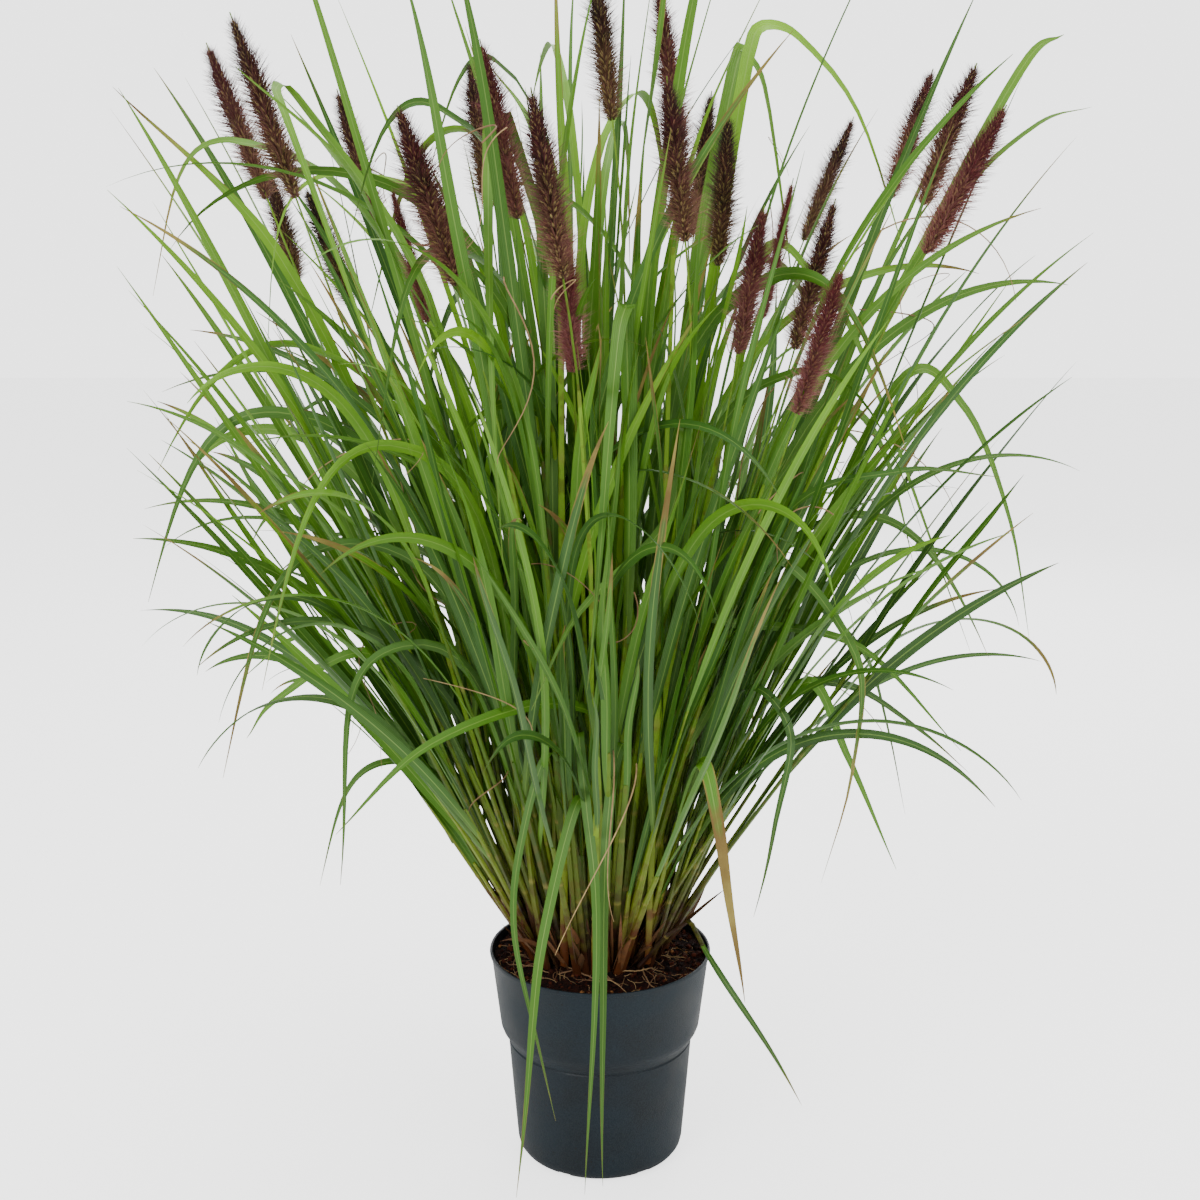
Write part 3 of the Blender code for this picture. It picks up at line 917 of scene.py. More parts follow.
# %% [markdown]
# ## The planting plan
#
# The clump's outline is set by 24 flowering stems and 72 leading shoots in nine tufts.
# Each shoot is given by its azimuth, the reach and height of its crest, and those of its
# tip. Those that a viewer notices first follow a line of knots of their own.

# %% Flowering stems: foot and tip of the bottle brush, and its radius
FLOWERING_STEMS = [
    ((-0.265, 0.020, 0.815), (-0.310, 0.030, 0.935), 0.0095),
    ((-0.225, -0.080, 0.815), (-0.265, -0.095, 0.945), 0.0100),
    ((-0.260, 0.115, 0.745), (-0.285, 0.135, 0.840), 0.0090),
    ((-0.220, 0.150, 0.725), (-0.260, 0.180, 0.825), 0.0095),
    ((-0.185, 0.090, 0.785), (-0.220, 0.110, 0.905), 0.0095),
    ((-0.100, -0.165, 0.755), (-0.135, -0.200, 0.875), 0.0110),
    ((-0.135, -0.025, 0.720), (-0.160, -0.035, 0.825), 0.0060),
    ((-0.090, 0.050, 0.805), (-0.105, 0.060, 0.925), 0.0095),
    ((-0.060, -0.095, 0.800), (-0.085, -0.115, 0.925), 0.0095),
    ((-0.025, -0.190, 0.760), (-0.045, -0.225, 0.885), 0.0100),
    ((0.010, 0.020, 0.875), (-0.005, 0.025, 0.995), 0.0095),
    ((-0.020, -0.115, 0.690), (-0.025, -0.135, 0.790), 0.0085),
    ((0.065, 0.040, 0.850), (0.045, 0.045, 0.985), 0.0095),
    ((0.060, -0.155, 0.785), (0.045, -0.180, 0.895), 0.0095),
    ((0.080, 0.115, 0.785), (0.095, 0.135, 0.905), 0.0095),
    ((0.090, -0.055, 0.765), (0.095, -0.070, 0.875), 0.0090),
    ((0.125, -0.050, 0.725), (0.145, -0.060, 0.830), 0.0055),
    ((0.100, -0.135, 0.705), (0.115, -0.155, 0.810), 0.0085),
    ((0.175, 0.125, 0.780), (0.220, 0.160, 0.885), 0.0080),
    ((0.145, -0.095, 0.705), (0.170, -0.115, 0.815), 0.0085),
    ((0.140, -0.165, 0.665), (0.165, -0.200, 0.770), 0.0080),
    ((0.240, 0.075, 0.815), (0.275, 0.095, 0.920), 0.0090),
    ((0.250, -0.020, 0.810), (0.285, -0.030, 0.915), 0.0095),
    ((0.240, -0.095, 0.775), (0.290, -0.115, 0.880), 0.0095),
]

# %% Leading shoots
# Each tuft: where its foot stands, then its shoots. Each shoot: its azimuth in degrees,
# the reach and height of its crest, and the reach and height of its tip.
LEAF_TUFTS = [
    (0.052, 0.008, [
        (5, 0.215, 0.413, 0.335, 0.325), (357, 0.255, 0.670, 0.353, 0.471),
        (10, 0.170, 0.766, 0.345, 0.422), (0, 0.200, 0.560, 0.330, 0.440),
        (7, 0.290, 0.830, 0.395, 0.945), (345, 0.275, 0.806, 0.375, 0.880),
        (15, 0.190, 0.475, 0.290, 0.275), (338, 0.180, 0.440, 0.262, 0.286),
    ]),
    (0.036, -0.030, [
        (332, 0.165, 0.485, 0.312, 0.393), (329, 0.190, 0.580, 0.350, 0.625),
        (324, 0.205, 0.500, 0.245, 0.300), (317, 0.165, 0.440, 0.205, 0.270),
        (306, 0.135, 0.392, 0.192, 0.198), (313, 0.120, 0.232, 0.240, 0.121),
        (321, 0.190, 0.690, 0.310, 0.560), (320, 0.175, 0.760, 0.290, 0.640),
    ]),
    (0.004, -0.045, [
        (273, 0.100, 0.405, 0.172, 0.042), (276, 0.096, 0.395, 0.156, 0.042),
        (248, 0.120, 0.394, 0.162, 0.098), (257, 0.120, 0.360, 0.184, 0.040),
        (281, 0.162, 0.737, 0.235, 0.470), (286, 0.140, 0.560, 0.300, 0.440),
        (292, 0.150, 0.850, 0.230, 0.985), (272, 0.170, 0.660, 0.340, 0.540),
    ]),
    (-0.038, -0.034, [
        (233, 0.125, 0.430, 0.285, 0.358), (226, 0.210, 0.640, 0.335, 0.480),
        (218, 0.185, 0.480, 0.250, 0.300), (235, 0.170, 0.780, 0.270, 0.620),
        (211, 0.215, 0.560, 0.325, 0.390), (222, 0.220, 0.820, 0.320, 0.900),
        (206, 0.190, 0.720, 0.330, 0.640), (229, 0.170, 0.880, 0.260, 0.780),
    ]),
    (-0.059, 0.003, [
        (195, 0.215, 0.450, 0.292, 0.393), (172, 0.245, 0.450, 0.311, 0.405),
        (186, 0.187, 0.835, 0.270, 0.610), (183, 0.280, 0.860, 0.350, 0.740),
        (188, 0.250, 0.650, 0.362, 0.500), (182, 0.230, 0.700, 0.355, 0.600),
        (181, 0.250, 0.770, 0.375, 0.900), (191, 0.170, 0.360, 0.235, 0.255),
    ]),
    (-0.045, 0.047, [
        (140, 0.130, 0.870, 0.270, 0.700), (144, 0.220, 0.640, 0.345, 0.480),
        (138, 0.200, 0.800, 0.320, 0.860), (131, 0.230, 0.560, 0.330, 0.380),
        (123, 0.180, 0.740, 0.310, 0.580), (143, 0.190, 0.470, 0.290, 0.320),
        (134, 0.180, 0.560, 0.300, 0.470), (127, 0.140, 0.930, 0.260, 0.820),
    ]),
    (-0.006, 0.065, [
        (90, 0.190, 0.640, 0.330, 0.470), (98, 0.220, 0.800, 0.330, 0.880),
        (108, 0.200, 0.520, 0.300, 0.330), (83, 0.150, 0.880, 0.290, 0.740),
        (75, 0.210, 0.560, 0.320, 0.400), (103, 0.150, 0.940, 0.280, 0.900),
        (113, 0.220, 0.700, 0.340, 0.590), (79, 0.160, 0.430, 0.240, 0.260),
    ]),
    (0.036, 0.047, [
        (28, 0.185, 0.905, 0.290, 0.740), (32, 0.230, 0.640, 0.350, 0.480),
        (48, 0.210, 0.760, 0.340, 0.640), (58, 0.220, 0.560, 0.320, 0.370),
        (66, 0.200, 0.820, 0.310, 0.890), (27, 0.190, 0.520, 0.300, 0.420),
        (53, 0.170, 0.450, 0.260, 0.290), (43, 0.140, 0.960, 0.250, 0.950),
    ]),
    (-0.006, 0.026, [
        (70, 0.085, 0.900, 0.190, 0.780), (73, 0.060, 0.880, 0.095, 1.050),
        (118, 0.050, 0.800, 0.070, 1.030), (172, 0.070, 0.820, 0.120, 0.990),
        (5, 0.075, 0.840, 0.150, 1.010), (210, 0.060, 0.780, 0.110, 0.940),
        (118, 0.100, 0.860, 0.200, 0.930), (300, 0.050, 0.820, 0.090, 0.980),
    ]),
]

# %% Shoots that follow knots of their own
# The key is the number of the tuft and of the shoot in it. Each knot is an azimuth in
# degrees, a reach and a height, from the middle of the crown.
OWN_LINES = {
    (1, 1): [(4, 0.161, 0.402), (3, 0.215, 0.413), (5, 0.280, 0.370), (7, 0.330, 0.325)],
    (1, 2): [(353, 0.240, 0.670), (352, 0.293, 0.657), (351, 0.333, 0.568), (350, 0.353, 0.471)],
    (1, 3): [(9, 0.135, 0.766), (12, 0.192, 0.743), (14, 0.240, 0.671), (15, 0.345, 0.422)],
    (1, 5): [(4, 0.190, 0.620), (6, 0.274, 0.791), (8, 0.350, 0.922), (9, 0.385, 0.945)],
    (1, 6): [(345, 0.200, 0.660), (345, 0.276, 0.806), (345, 0.335, 0.867), (345, 0.375, 0.880)],
    (1, 7): [(11, 0.160, 0.483), (12, 0.233, 0.438), (13, 0.265, 0.360), (14, 0.288, 0.275)],
    (1, 8): [(340, 0.179, 0.436), (341, 0.216, 0.377), (340, 0.259, 0.286)],
    (2, 1): [(332, 0.084, 0.472), (337, 0.128, 0.481), (339, 0.223, 0.471), (339, 0.307, 0.393)],
    (2, 2): [(322, 0.179, 0.577), (326, 0.270, 0.621), (327, 0.345, 0.622)],
    (2, 3): [(332, 0.148, 0.538), (327, 0.237, 0.479), (323, 0.245, 0.390), (319, 0.230, 0.299)],
    (2, 4): [(322, 0.146, 0.437), (319, 0.200, 0.415), (313, 0.202, 0.340), (309, 0.193, 0.271)],
    (2, 5): [(306, 0.137, 0.385), (304, 0.169, 0.347), (305, 0.184, 0.282), (308, 0.189, 0.198)],
    (2, 6): [(322, 0.097, 0.230), (312, 0.134, 0.221), (310, 0.184, 0.188), (314, 0.235, 0.121)],
    (3, 1): [(262, 0.091, 0.404), (267, 0.130, 0.353), (270, 0.166, 0.270), (268, 0.170, 0.044)],
    (3, 2): [(285, 0.093, 0.393), (276, 0.121, 0.365), (272, 0.157, 0.262), (273, 0.155, 0.042)],
    (3, 3): [(253, 0.115, 0.393), (249, 0.150, 0.341), (249, 0.172, 0.250), (259, 0.153, 0.097)],
    (3, 4): [(264, 0.111, 0.355), (256, 0.155, 0.266), (254, 0.177, 0.195), (250, 0.181, 0.041)],
    (3, 5): [
        (284, 0.105, 0.500), (279, 0.158, 0.722), (278, 0.165, 0.738),
        (276, 0.172, 0.718), (272, 0.190, 0.600), (268, 0.205, 0.470),
    ],
    (3, 6): [(318, 0.095, 0.640), (300, 0.110, 0.573), (265, 0.151, 0.515), (256, 0.196, 0.450)],
    (3, 8): [
        (250, 0.060, 0.700), (238, 0.115, 0.862), (236, 0.128, 0.876),
        (238, 0.145, 0.858), (246, 0.180, 0.720), (252, 0.205, 0.560),
    ],
    (4, 1): [(284, 0.072, 0.392), (252, 0.116, 0.433), (234, 0.210, 0.417), (228, 0.282, 0.361)],
    (4, 7): [
        (215, 0.150, 0.740), (206, 0.235, 0.880), (208, 0.258, 0.893),
        (214, 0.262, 0.870), (228, 0.255, 0.760), (240, 0.250, 0.640),
    ],
    (5, 1): [(196, 0.184, 0.455), (195, 0.263, 0.425), (196, 0.290, 0.395)],
    (5, 2): [(175, 0.225, 0.440), (173, 0.260, 0.449), (173, 0.309, 0.410)],
    (8, 1): [
        (24, 0.105, 0.740), (18, 0.128, 0.925), (17, 0.142, 0.950),
        (18, 0.175, 0.940), (18, 0.231, 0.878), (18, 0.287, 0.740),
    ],
    (8, 8): [
        (40, 0.105, 0.720), (38, 0.147, 0.922), (36, 0.156, 0.930),
        (33, 0.168, 0.905), (30, 0.185, 0.800), (28, 0.200, 0.690),
    ],
}

# Width, tone and age of the leaves that hang in front of the pot, and a few others.
LEAF_LOOKS = {
    (1, 2): (0.0100, 0.45, 0.10),
    (1, 3): (0.0090, 0.55, 0.20),
    (2, 1): (0.0090, 0.60, 0.10),
    (2, 5): (0.0118, 0.95, 0.85),
    (2, 6): (0.0052, 0.10, 0.35),
    (3, 1): (0.0080, 0.42, 0.15),
    (3, 2): (0.0086, 0.38, 0.15),
    (3, 3): (0.0062, 0.40, 0.20),
    (3, 4): (0.0088, 0.60, 0.25),
    (3, 5): (0.0135, 0.30, 0.05),
    (3, 6): (0.0110, 0.50, 0.05),
    (3, 8): (0.0120, 0.40, 0.05),
    (4, 1): (0.0116, 0.62, 0.08),
    (8, 1): (0.0115, 0.85, 0.05),
    (8, 8): (0.0140, 0.40, 0.05),
}


# %% The line of one leading shoot, from the crown to the tip of its leaf
def shoot_line(foot, azimuth, sizes):
    """Climbs to a crest and falls to a tip; the sizes are their reaches and heights."""
    crest, tip = polar(azimuth, *sizes[:2]), polar(azimuth, *sizes[2:])
    over = ((tip - crest).normalized() + (crest - foot).normalized()).normalized()
    rise, fall = (crest - foot).length, (tip - crest).length
    climbing = foot + (crest - foot) * 0.33 + upright(0.06 * rise)
    sag = upright(0.35 * max(0.0, crest.z - tip.z))
    lower = interpolate_bezier(foot, climbing, crest - over * 0.30 * rise, crest, 16)
    handles = crest + over * 0.35 * fall, tip + (crest - tip) * 0.25 + sag
    return lower + interpolate_bezier(crest, *handles, tip, 16)[1:]


def own_line(foot, knots):
    """Climbs from the crown to the first knot, then follows the knots."""
    knots = [polar(*knot) for knot in knots]
    climb = foot + (knots[0] - foot) * 0.5 + upright(0.05 * (knots[0] - foot).length)
    return flowing([foot, climb, *knots])


# %% Keep every stalk and leaf in a list until all are planned
LEADING_LEAF_WIDTHS = (0.0070, 0.0112)
SIDE_LEAF_WIDTHS = (0.0050, 0.0102)
SWAY = 0.0022  # how far a leaf wavers from side to side at its tip
stalks = []
tuft_leaves = [[] for _ in LEAF_TUFTS]
further_leaves = [[] for _ in range(4)]


def add_leaf(group, route, width, tone, age, twist, roll=None):
    """Keeps a leaf for later; the twist in radians builds up towards the tip."""
    waver = np.sin(np.linspace(0, draw.uniform(5, 11), len(route)) + draw.uniform(0, 6))
    aside = normalised(np.cross((0, 0, 1), route[-1] - route[0]))
    amount = np.linspace(0, 1, len(route)) ** 0.7 * SWAY
    route = route + (waver * amount)[:, None] * aside
    roll = draw.normal(0, 0.85) if roll is None else roll
    roll = roll + twist * np.linspace(0, 1, LEAF_STOPS) ** 1.3
    group.append((gathered(route, LEAF_STOPS), width, tone, age, roll))


def add_side_leaf(group, stalk_route, share, azimuth, spread, length, bend, tone, age):
    """A leaf that leaves a stalk at a joint, a share of the way up it."""
    spot = stalk_route[int(share * (len(stalk_route) - 1))]
    ahead = stalk_route[-1] - stalk_route[0]
    lean = math.atan2(math.hypot(ahead[0], ahead[1]), ahead[2])
    heading = math.atan2(ahead[1], ahead[0]) + azimuth
    start_lean = max(0.02, lean * math.cos(azimuth * 0.6) + spread)
    late, swing = draw.uniform(1.2, 2.2), draw.normal(0, 0.25)
    route = grow_clear(spot, start_lean, heading, length, bend, late, swing)
    add_leaf(group, route, draw.uniform(*SIDE_LEAF_WIDTHS), tone, age, draw.normal(0, 1.1))


def pick_bend():
    """Most leaves are nearly straight, some lean over, a few fold right down."""
    kind = draw.uniform()
    if kind < 0.62:
        return math.radians(draw.uniform(3, 28))
    if kind < 0.84:
        return math.radians(draw.uniform(32, 75))
    return math.radians(draw.uniform(80, 145))


def pick_side():
    """Most leaves lean away with their stalk, and some cross to another side."""
    return draw.normal(0, 0.5) if draw.uniform() < 0.72 else draw.uniform(-math.pi, math.pi)


# %% Plan the leading shoots and the leaves beside them
FACING = 0.95  # how far a leaf with a line of its own turns its face to the front
LOW_CREST = 0.30  # a shoot that crests lower than this has no side leaves
for tuft, (foot_x, foot_y, shoots) in enumerate(LEAF_TUFTS, start=1):
    foot = Vector((foot_x, foot_y, CROWN_TOP - 0.004))
    group = tuft_leaves[tuft - 1]
    for number, (azimuth, *sizes) in enumerate(shoots, start=1):
        start = foot + outward(draw.uniform(0, 360), draw.uniform(0.0, 0.010))
        has_own_line = (tuft, number) in OWN_LINES
        if has_own_line:
            line = own_line(start, OWN_LINES[tuft, number])
        else:
            line = shoot_line(start, azimuth, sizes)
        route = even(line, 120)
        mouth = draw.uniform(0.28, 0.38)  # where the leaf leaves its sheath
        stalk_route = piece_of(route, 0.0, mouth + 0.03, STALK_STOPS)
        stalks.append((stalk_route, draw.uniform(0.0058, 0.0084), draw.uniform(0.1, 0.9)))
        leaf_route = piece_of(route, mouth, 1.0, 80)
        span = leaf_route[-1] - leaf_route[0]
        facing = FACING * span[0] / math.hypot(span[0], span[1])
        width, tone, age = LEAF_LOOKS.get(
            (tuft, number),
            (
                draw.uniform(*LEADING_LEAF_WIDTHS),
                draw.uniform(0.10, 0.9),
                0.5 * draw.uniform() ** 1.5,
            ),
        )
        twist = draw.normal(0, 0.25 if has_own_line else 0.8)
        add_leaf(
            group, leaf_route, width, tone, age, twist, facing if has_own_line else None
        )
        for _ in range(int(draw.integers(1, 4)) if sizes[1] > LOW_CREST else 0):
            add_side_leaf(
                group,
                stalk_route,
                share=draw.choice([0.70, 0.85, 1.0]),
                azimuth=pick_side(),
                spread=draw.uniform(0.03, 0.20),
                length=draw.uniform(0.26, 0.50),
                bend=pick_bend(),
                tone=draw.uniform(0.0, 0.7),
                age=0.65 * draw.uniform() ** 2,
            )

# %% Two tall stalks that stand clear in front
for foot, top, girth in (
    ((-0.030, -0.044, CROWN_TOP), (-0.029, -0.098, 0.80), 0.0078),
    ((0.040, -0.040, CROWN_TOP), (0.054, -0.096, 0.78), 0.0064),
):
    middle = (Vector(foot) + Vector(top)) / 2 - Vector((0, 0.012, 0))
    stalks.append((even(flowing([Vector(foot), middle, Vector(top)]), STALK_STOPS), girth, 1.0))


# %% How a free shoot stands
def front_share(azimuth):
    """Shoots at the front stand more upright, so that the hanging leaves show."""
    return 1.0 - 0.38 * max(0.0, -math.sin(math.radians(azimuth))) ** 1.5


def add_stalk(habit):
    """Grows one stalk from the crown; returns its route and the group for its leaves."""
    azimuth = draw.uniform(0, 360)
    edge = math.sqrt(draw.uniform(habit["innermost"], 1.0))  # 0 in the middle, 1 outside
    sunk = upright(CROWN_TOP - habit["depth"])
    foot = CROWN_CENTRE + outward(azimuth, habit["ring"] * edge) + sunk
    outer_lean = habit["widest_lean"] * edge ** habit["lean_power"] * front_share(azimuth)
    lean = outer_lean + draw.normal(0, habit["lean_spread"])
    heading = math.radians(azimuth) + draw.normal(0, habit["heading_spread"])
    length = draw.uniform(*habit["lengths"]) * (1.0 - habit["shorter_outside"] * edge)
    bend = draw.normal(0, habit["bend_spread"])
    route = grow(foot, lean, heading, length, bend, 1.0, 0.0, stops=STALK_STOPS)
    stalks.append((route, draw.uniform(*habit["widths"]), draw.uniform(*habit["tones"])))
    return route, further_leaves[int(azimuth // 90) % 4]


# %% Fill the clump with further shoots
FURTHER_SHOOTS = 100
TALL_HABIT = {
    "innermost": 0.02,
    "ring": 0.060,
    "depth": 0.004,
    "widest_lean": math.radians(31),
    "lean_power": 1.1,
    "lean_spread": 0.05,
    "heading_spread": 0.16,
    "lengths": (0.22, 0.56),
    "shorter_outside": 0.32,
    "bend_spread": 0.07,
    "widths": (0.0050, 0.0082),
    "tones": (0.0, 1.0),
}
for _ in range(FURTHER_SHOOTS):
    stalk_route, group = add_stalk(TALL_HABIT)
    add_side_leaf(
        group,
        stalk_route,
        share=0.93,
        azimuth=draw.normal(0, 0.15),
        spread=draw.normal(0, 0.04),
        length=draw.uniform(0.34, 0.62),
        bend=pick_bend(),
        tone=draw.uniform() ** 1.3,
        age=0.5 * draw.uniform() ** 2,
    )
    for _ in range(int(draw.integers(1, 3))):
        add_side_leaf(
            group,
            stalk_route,
            share=draw.choice([0.55, 0.70, 0.85]),
            azimuth=pick_side(),
            spread=draw.uniform(0.03, 0.18),
            length=draw.uniform(0.28, 0.55),
            bend=pick_bend(),
            tone=draw.uniform() ** 1.6,
            age=0.7 * draw.uniform() ** 2,
        )

# %% Short shoots that thicken the foot of the clump
SHORT_SHOOTS = 104
SHORT_HABIT = {
    "innermost": 0.25,
    "ring": 0.062,
    "depth": 0.006,
    "widest_lean": math.radians(33),
    "lean_power": 1.0,
    "lean_spread": 0.06,
    "heading_spread": 0.14,
    "lengths": (0.06, 0.24),
    "shorter_outside": 0.0,
    "bend_spread": 0.08,
    "widths": (0.0052, 0.0086),
    "tones": (0.1, 1.0),
}
for _ in range(SHORT_SHOOTS):
    stalk_route, group = add_stalk(SHORT_HABIT)
    add_side_leaf(
        group,
        stalk_route,
        share=0.90,
        azimuth=draw.normal(0, 0.1),
        spread=draw.uniform(0.0, 0.04),
        length=draw.uniform(0.16, 0.44),
        bend=math.radians(draw.uniform(0, 22)),
        tone=draw.uniform(0.0, 0.6),
        age=0.6 * draw.uniform() ** 2,
    )
leaf_count = sum(len(group) for group in tuft_leaves + further_leaves)
print("Planned", len(stalks), "stalks and", leaf_count, "leaves")

# %% [markdown]
# ## Setting out the leaves and stalks
#
# Each tuft becomes one piece that stands for its solid. The shoots between the tufts
# make four further pieces, one for each quarter of the clump.


# %% Leaves
def set_out_leaves(name, leaves):
    """One object that holds every leaf of a list."""
    routes, widths, tones, ages, rolls = (np.array(column) for column in zip(*leaves))
    return carry(name, blade, routes, widths, leaf_finish, tones, ages, rolls)


for number, leaves in enumerate(tuft_leaves, start=1):
    piece = set_out_leaves(f"leaves_of_tuft_{number:02d}", leaves)
    finish_piece(piece, "grass_leaf", f"leaf_tuft_{number:02d}")
for number, leaves in enumerate(further_leaves, start=1):
    piece = set_out_leaves(f"further_leaves_{number}", leaves)
    finish_piece(piece, "grass_leaf")

# %% Stalks
routes, widths, tones = (np.array(column) for column in zip(*stalks))
piece = carry("leaf_stalks", stalk, routes, widths, stalk_finish, tones)
finish_piece(piece, "grass_leaf")

# %% [markdown]
# ## Old sheaths at the foot
#
# Last year's sheaths stay round the foot of the clump as brown paper. They are short
# copies of the blade that lean with the stalks, and their finish is the papery one.

# %% Papery sheaths
OLD_SHEATHS = 210
WIDEST_SHEATH_LEAN = math.radians(33)
routes, widths = [], []
for _ in range(OLD_SHEATHS):
    azimuth = draw.uniform(0, 360)
    edge = math.sqrt(draw.uniform(0.15, 1.05))
    foot = CROWN_CENTRE + outward(azimuth, 0.061 * edge) + upright(CROWN_TOP - 0.005)
    lean = WIDEST_SHEATH_LEAN * edge + draw.normal(0, 0.10)
    heading = math.radians(azimuth) + draw.normal(0, 0.3)
    length, bend = draw.uniform(0.018, 0.095), draw.normal(0.0, 0.3)
    routes.append(grow(foot, lean, heading, length, bend, stops=9))
    widths.append(draw.uniform(0.0035, 0.0075))
tones = draw.uniform(0, 1, OLD_SHEATHS)
rolls = draw.normal(0, 0.6, (OLD_SHEATHS, 1))
piece = carry("old_sheaths", blade, routes, widths, papery_finish, tones, 0.5, rolls)
finish_piece(piece, "grass_leaf")

# %% [markdown]
# ## Crown
#
# Under the shoots sits the rootstock, a low woody mound matted with fine roots. A circle is
# drawn up into a dome, subdivided and roughened.

# %% Woody mound
CROWN_PROFILE = [
    (0.0630, 0.0000),
    (0.0625, 0.0040),
    (0.0600, 0.0080),
    (0.0520, 0.0105),
    (0.0300, 0.0120),
]
CROWN_FOOT = 0.175
crown = add_section(48, CROWN_PROFILE[0][0], 1.0)
crown.name = "rootstock_mound"
draw_up(CROWN_PROFILE)
bpy.ops.mesh.inset(thickness=0.012)
bpy.ops.mesh.select_all(action="SELECT")
bpy.ops.mesh.subdivide(number_cuts=1)
bpy.ops.transform.translate(value=(CROWN_CENTRE.x, CROWN_CENTRE.y, CROWN_FOOT))
bpy.ops.object.mode_set(mode="OBJECT")
faces_outwards(crown)
for point in crown.data.vertices:
    if point.co.z > CROWN_FOOT + 0.001:
        lump = noise.noise(point.co * 160.0) * 0.0022
        point.co.z += lump + noise.noise(point.co * 420.0) * 0.0012
crown.data.materials.append(soil_finish)
only(crown)
bpy.ops.object.shade_smooth_by_angle(angle=math.radians(60))
finish_piece(crown, "rootstock", "crown")

# %% [markdown]
# ## Flowering stems and bottle brushes
#
# A bottle brush is a thin stem set all round with spikelets. They are placed on a spiral,
# as the plant does, so that no two line up, and they stand closer to the stem near
# the tip. The stem runs on through the brush.


# %% Stems
def stem_line(spike_foot, spike_tip):
    """From the crown up to the brush, and on through it."""
    spike_foot, spike_tip = Vector(spike_foot), Vector(spike_tip)
    along_spike = (spike_tip - spike_foot).normalized()
    level = (spike_foot - CROWN_CENTRE) * FOOT_SHARE + CROWN_CENTRE
    foot = Vector((level.x, level.y, CROWN_TOP + GAP))
    top = spike_foot - along_spike * GAP
    reach = (top - foot).length / 3.0
    rise = Vector((top.x - foot.x, top.y - foot.y, 1.6 * top.z)).normalized()
    climb = interpolate_bezier(foot, foot + rise * reach, top - along_spike * reach, top, 30)
    return [*climb, spike_tip]


stem_routes = [even(stem_line(foot, tip), 19) for foot, tip, _ in FLOWERING_STEMS]
sheathed = [piece_of(route, 0.0, draw.uniform(0.55, 0.74), STALK_STOPS) for route in stem_routes]
sheath_widths = draw.uniform(0.0058, 0.0076, len(sheathed))
sheath_tones = draw.uniform(0.4, 1.0, len(sheathed))
piece = carry("flower_stem_sheaths", stalk, sheathed, sheath_widths, stalk_finish, sheath_tones)
finish_piece(piece, "flower_stem")
stem_widths = [0.0026 if radius > 0.007 else 0.0020 for _, _, radius in FLOWERING_STEMS]
stem_tones = draw.uniform(0.2, 0.9, len(stem_routes))
piece = carry("flower_stems", fibre, stem_routes, stem_widths, stalk_finish, stem_tones)
numbers = range(1, len(FLOWERING_STEMS) + 1)
finish_piece(piece, "flower_stem", *[f"flower_stem_{number:02d}" for number in numbers])


# %% Brushes
GOLDEN_TURN = math.radians(137.5)
SPIKELETS = 350
BRUSHES_PER_PIECE = 6


def brush(foot, tip, radius, darkness):
    """Routes, widths, tones, ages and headings of the spikelets of one brush."""
    foot, tip = np.array(foot), np.array(tip)
    axis = normalised(tip - foot)
    first = normalised(np.cross(axis, (0.3, 1.0, 0.2)))
    second = np.cross(axis, first)
    share = (np.arange(SPIKELETS) + draw.uniform(0, 1, SPIKELETS)) / SPIKELETS
    turn = GOLDEN_TURN * np.arange(SPIKELETS) + draw.normal(0, 0.45, SPIKELETS)
    out = np.cos(turn)[:, None] * first + np.sin(turn)[:, None] * second
    swell = np.minimum(1.0, 0.66 + 2.4 * share) * np.minimum(1.0, 0.46 + 1.7 * (1.0 - share))
    tilt = np.radians(48.0 - 26.0 * share**2 + draw.normal(0, 5, SPIKELETS))
    length = radius * 2.1 * swell * draw.uniform(0.85, 1.18, SPIKELETS)
    ahead = np.cos(tilt)[:, None] * axis + np.sin(tilt)[:, None] * out
    start = foot + share[:, None] * 0.93 * (tip - foot) + out * 0.0006
    routes = np.stack([start, start + ahead * length[:, None]], axis=1)
    tones = (darkness + draw.normal(0, 0.18, SPIKELETS)).clip(0, 1)
    ages = (1.15 - 1.7 * share + draw.normal(0, 0.2, SPIKELETS)).clip(0, 1)
    return routes, length, tones, ages, out


# How maroon each brush is, from dark brown at 0.
SHADES = [0.4, 0.3, 0.15, 0.0, 0.3, 0.4, 0.8, 0.2, 0.55, 0.3, 0.1, 0.9]
SHADES += [0.5, 0.3, 0.2, 0.15, 0.95, 0.6, 0.2, 0.3, 0.75, 0.4, 0.35, 0.65]
for group in range(len(FLOWERING_STEMS) // BRUSHES_PER_PIECE):
    first = group * BRUSHES_PER_PIECE
    chosen = range(first, first + BRUSHES_PER_PIECE)
    brushes = [brush(*FLOWERING_STEMS[number], SHADES[number]) for number in chosen]
    routes, widths, tones, ages, headings = (np.concatenate(column) for column in zip(*brushes))
    piece = carry(
        f"bottle_brushes_{group + 1}",
        spikelet,
        routes,
        widths,
        bristle_finish,
        tones,
        ages,
        headings=headings,
    )
    spikes = [f"flower_spike_{number + 1:02d}" for number in chosen]
    finish_piece(piece, "flower_bristles", *spikes)
    print(piece.name, "has", len(piece.data.polygons), "faces")

# %% [markdown]
# ## Litter on the soil
#
# Crumbs of peat, tan fibres and a few surface roots lie on the bed. Each is dropped
# straight down onto the lumpy soil, so none of them floats.

# %% Crumbs
ground = BVHTree.FromObject(soil, bpy.context.evaluated_depsgraph_get())


def ground_height(x, y):
    """The height of the soil at a place."""
    hit = ground.ray_cast(Vector((x, y, 0.3)), Vector((0, 0, -1)))[0]
    return hit.z if hit else SOIL_TOP


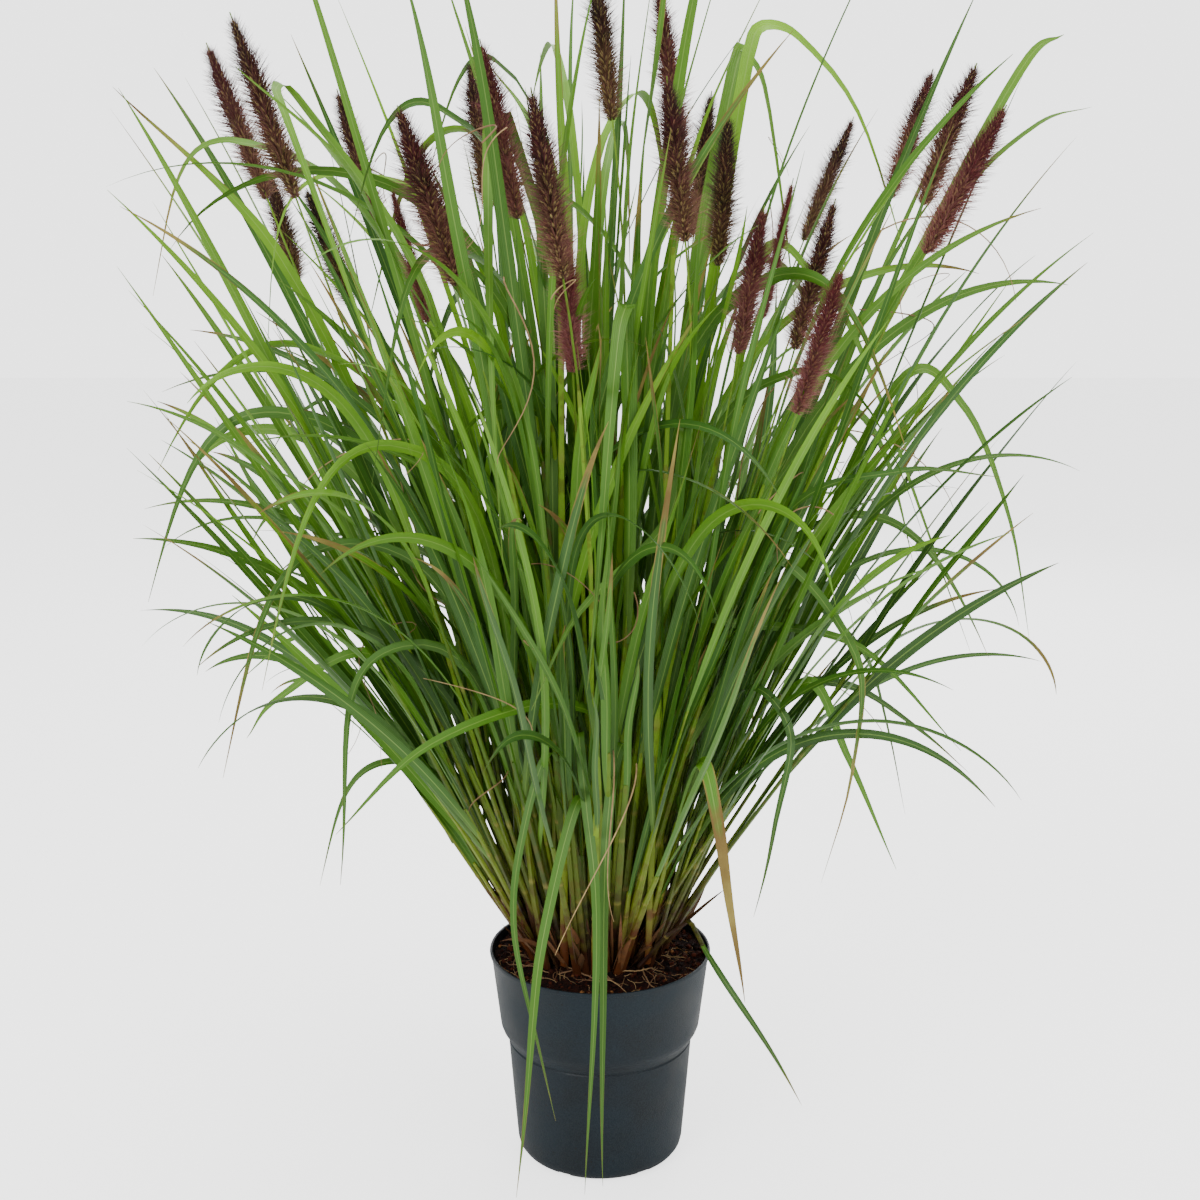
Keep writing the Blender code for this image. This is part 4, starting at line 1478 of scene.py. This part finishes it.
CRUMBS = 1500
CRUMB_REACH = 0.0895
routes, widths = [], []
for _ in range(CRUMBS):
    turn = draw.uniform(0, math.tau)
    reach = CRUMB_REACH * math.sqrt(draw.uniform(0.12, 1.0))
    x, y = reach * math.cos(turn), reach * math.sin(turn)
    size = draw.uniform(0.0009, 0.0026) if draw.uniform() < 0.85 else draw.uniform(0.003, 0.005)
    aim = normalised(draw.normal(0, 1, 3))
    middle = np.array((x, y, ground_height(x, y) + 0.20 * size))
    stretch = draw.uniform(0.6, 1.5)
    routes.append([middle - aim * 0.5 * size * stretch, middle + aim * 0.5 * size * stretch])
    widths.append(size)
tones = draw.uniform(0, 1, CRUMBS) ** 1.5
piece = carry("soil_crumbs", crumb, routes, widths, crumb_finish, tones)
finish_piece(piece, "potting_soil")


# %% Fibres and surface roots
THREADS, ROOTS = 130, 16
LITTER_REACH = 0.088


def lying_thread(start_reach, end_reach, length, lift):
    """A thread that wanders over the soil, and is lifted off it in the middle."""
    turn = draw.uniform(0, math.tau)
    reach = draw.uniform(start_reach, end_reach)
    x, y = reach * math.cos(turn), reach * math.sin(turn)
    heading, curl = draw.uniform(0, math.tau), draw.normal(0, 1.4)
    steps = FIBRE_STOPS - 1
    route = []
    for step in range(FIBRE_STOPS):
        share = step / steps
        away = math.hypot(x, y)
        if away > LITTER_REACH:
            x, y = x * LITTER_REACH / away, y * LITTER_REACH / away
        hump = lift * math.sin(math.pi * share)
        route.append((x, y, ground_height(x, y) + 0.0004 + hump))
        heading += (curl + 1.2 * math.sin(9 * share + curl)) / steps
        x += math.cos(heading) * length / steps
        y += math.sin(heading) * length / steps
    return route


threads = [lying_thread(0.05, 0.086, draw.uniform(0.008, 0.028), 0.001) for _ in range(THREADS)]
roots = [lying_thread(0.045, 0.070, draw.uniform(0.03, 0.06), 0.0045) for _ in range(ROOTS)]
thread_widths = draw.uniform(0.0004, 0.0009, THREADS)
widths = np.concatenate([thread_widths, draw.uniform(0.0009, 0.0017, ROOTS)])
tones = draw.uniform(0, 0.7, len(widths))
piece = carry("peat_fibres", fibre, threads + roots, widths, fibre_finish, tones)
finish_piece(piece, "potting_soil")
print("The soil carries", CRUMBS, "crumbs and", len(widths), "threads")

# %% [markdown]
# ## Dry filaments
#
# Thin leaves that have dried out curl among the green ones as tan threads. Each is a
# spiral that opens and drifts as it goes.

# %% Curled threads
FILAMENTS = 42
routes = []
for _ in range(FILAMENTS):
    azimuth = draw.uniform(0, 360)
    height = draw.uniform(0.36, 0.86)
    reach = 0.06 + (height - CROWN_TOP) * 0.42 * draw.uniform(0.5, 1.05)
    start = np.array(polar(azimuth, reach, height))
    heading, lean = draw.uniform(0, math.tau), draw.uniform(0.3, 2.6)
    length = draw.uniform(0.06, 0.20)
    turns = draw.normal(0, 2.2)
    bend = draw.uniform(0.5, 3.4)
    routes.append(grow(start, lean, heading, length, bend, 1.0, turns, stops=FIBRE_STOPS))
tones = draw.uniform(0.3, 1.0, FILAMENTS)
widths = draw.uniform(0.0007, 0.0014, FILAMENTS)
piece = carry("dry_filaments", fibre, routes, widths, fibre_finish, tones)
finish_piece(piece, "grass_leaf")
print("Curled", FILAMENTS, "dry filaments")
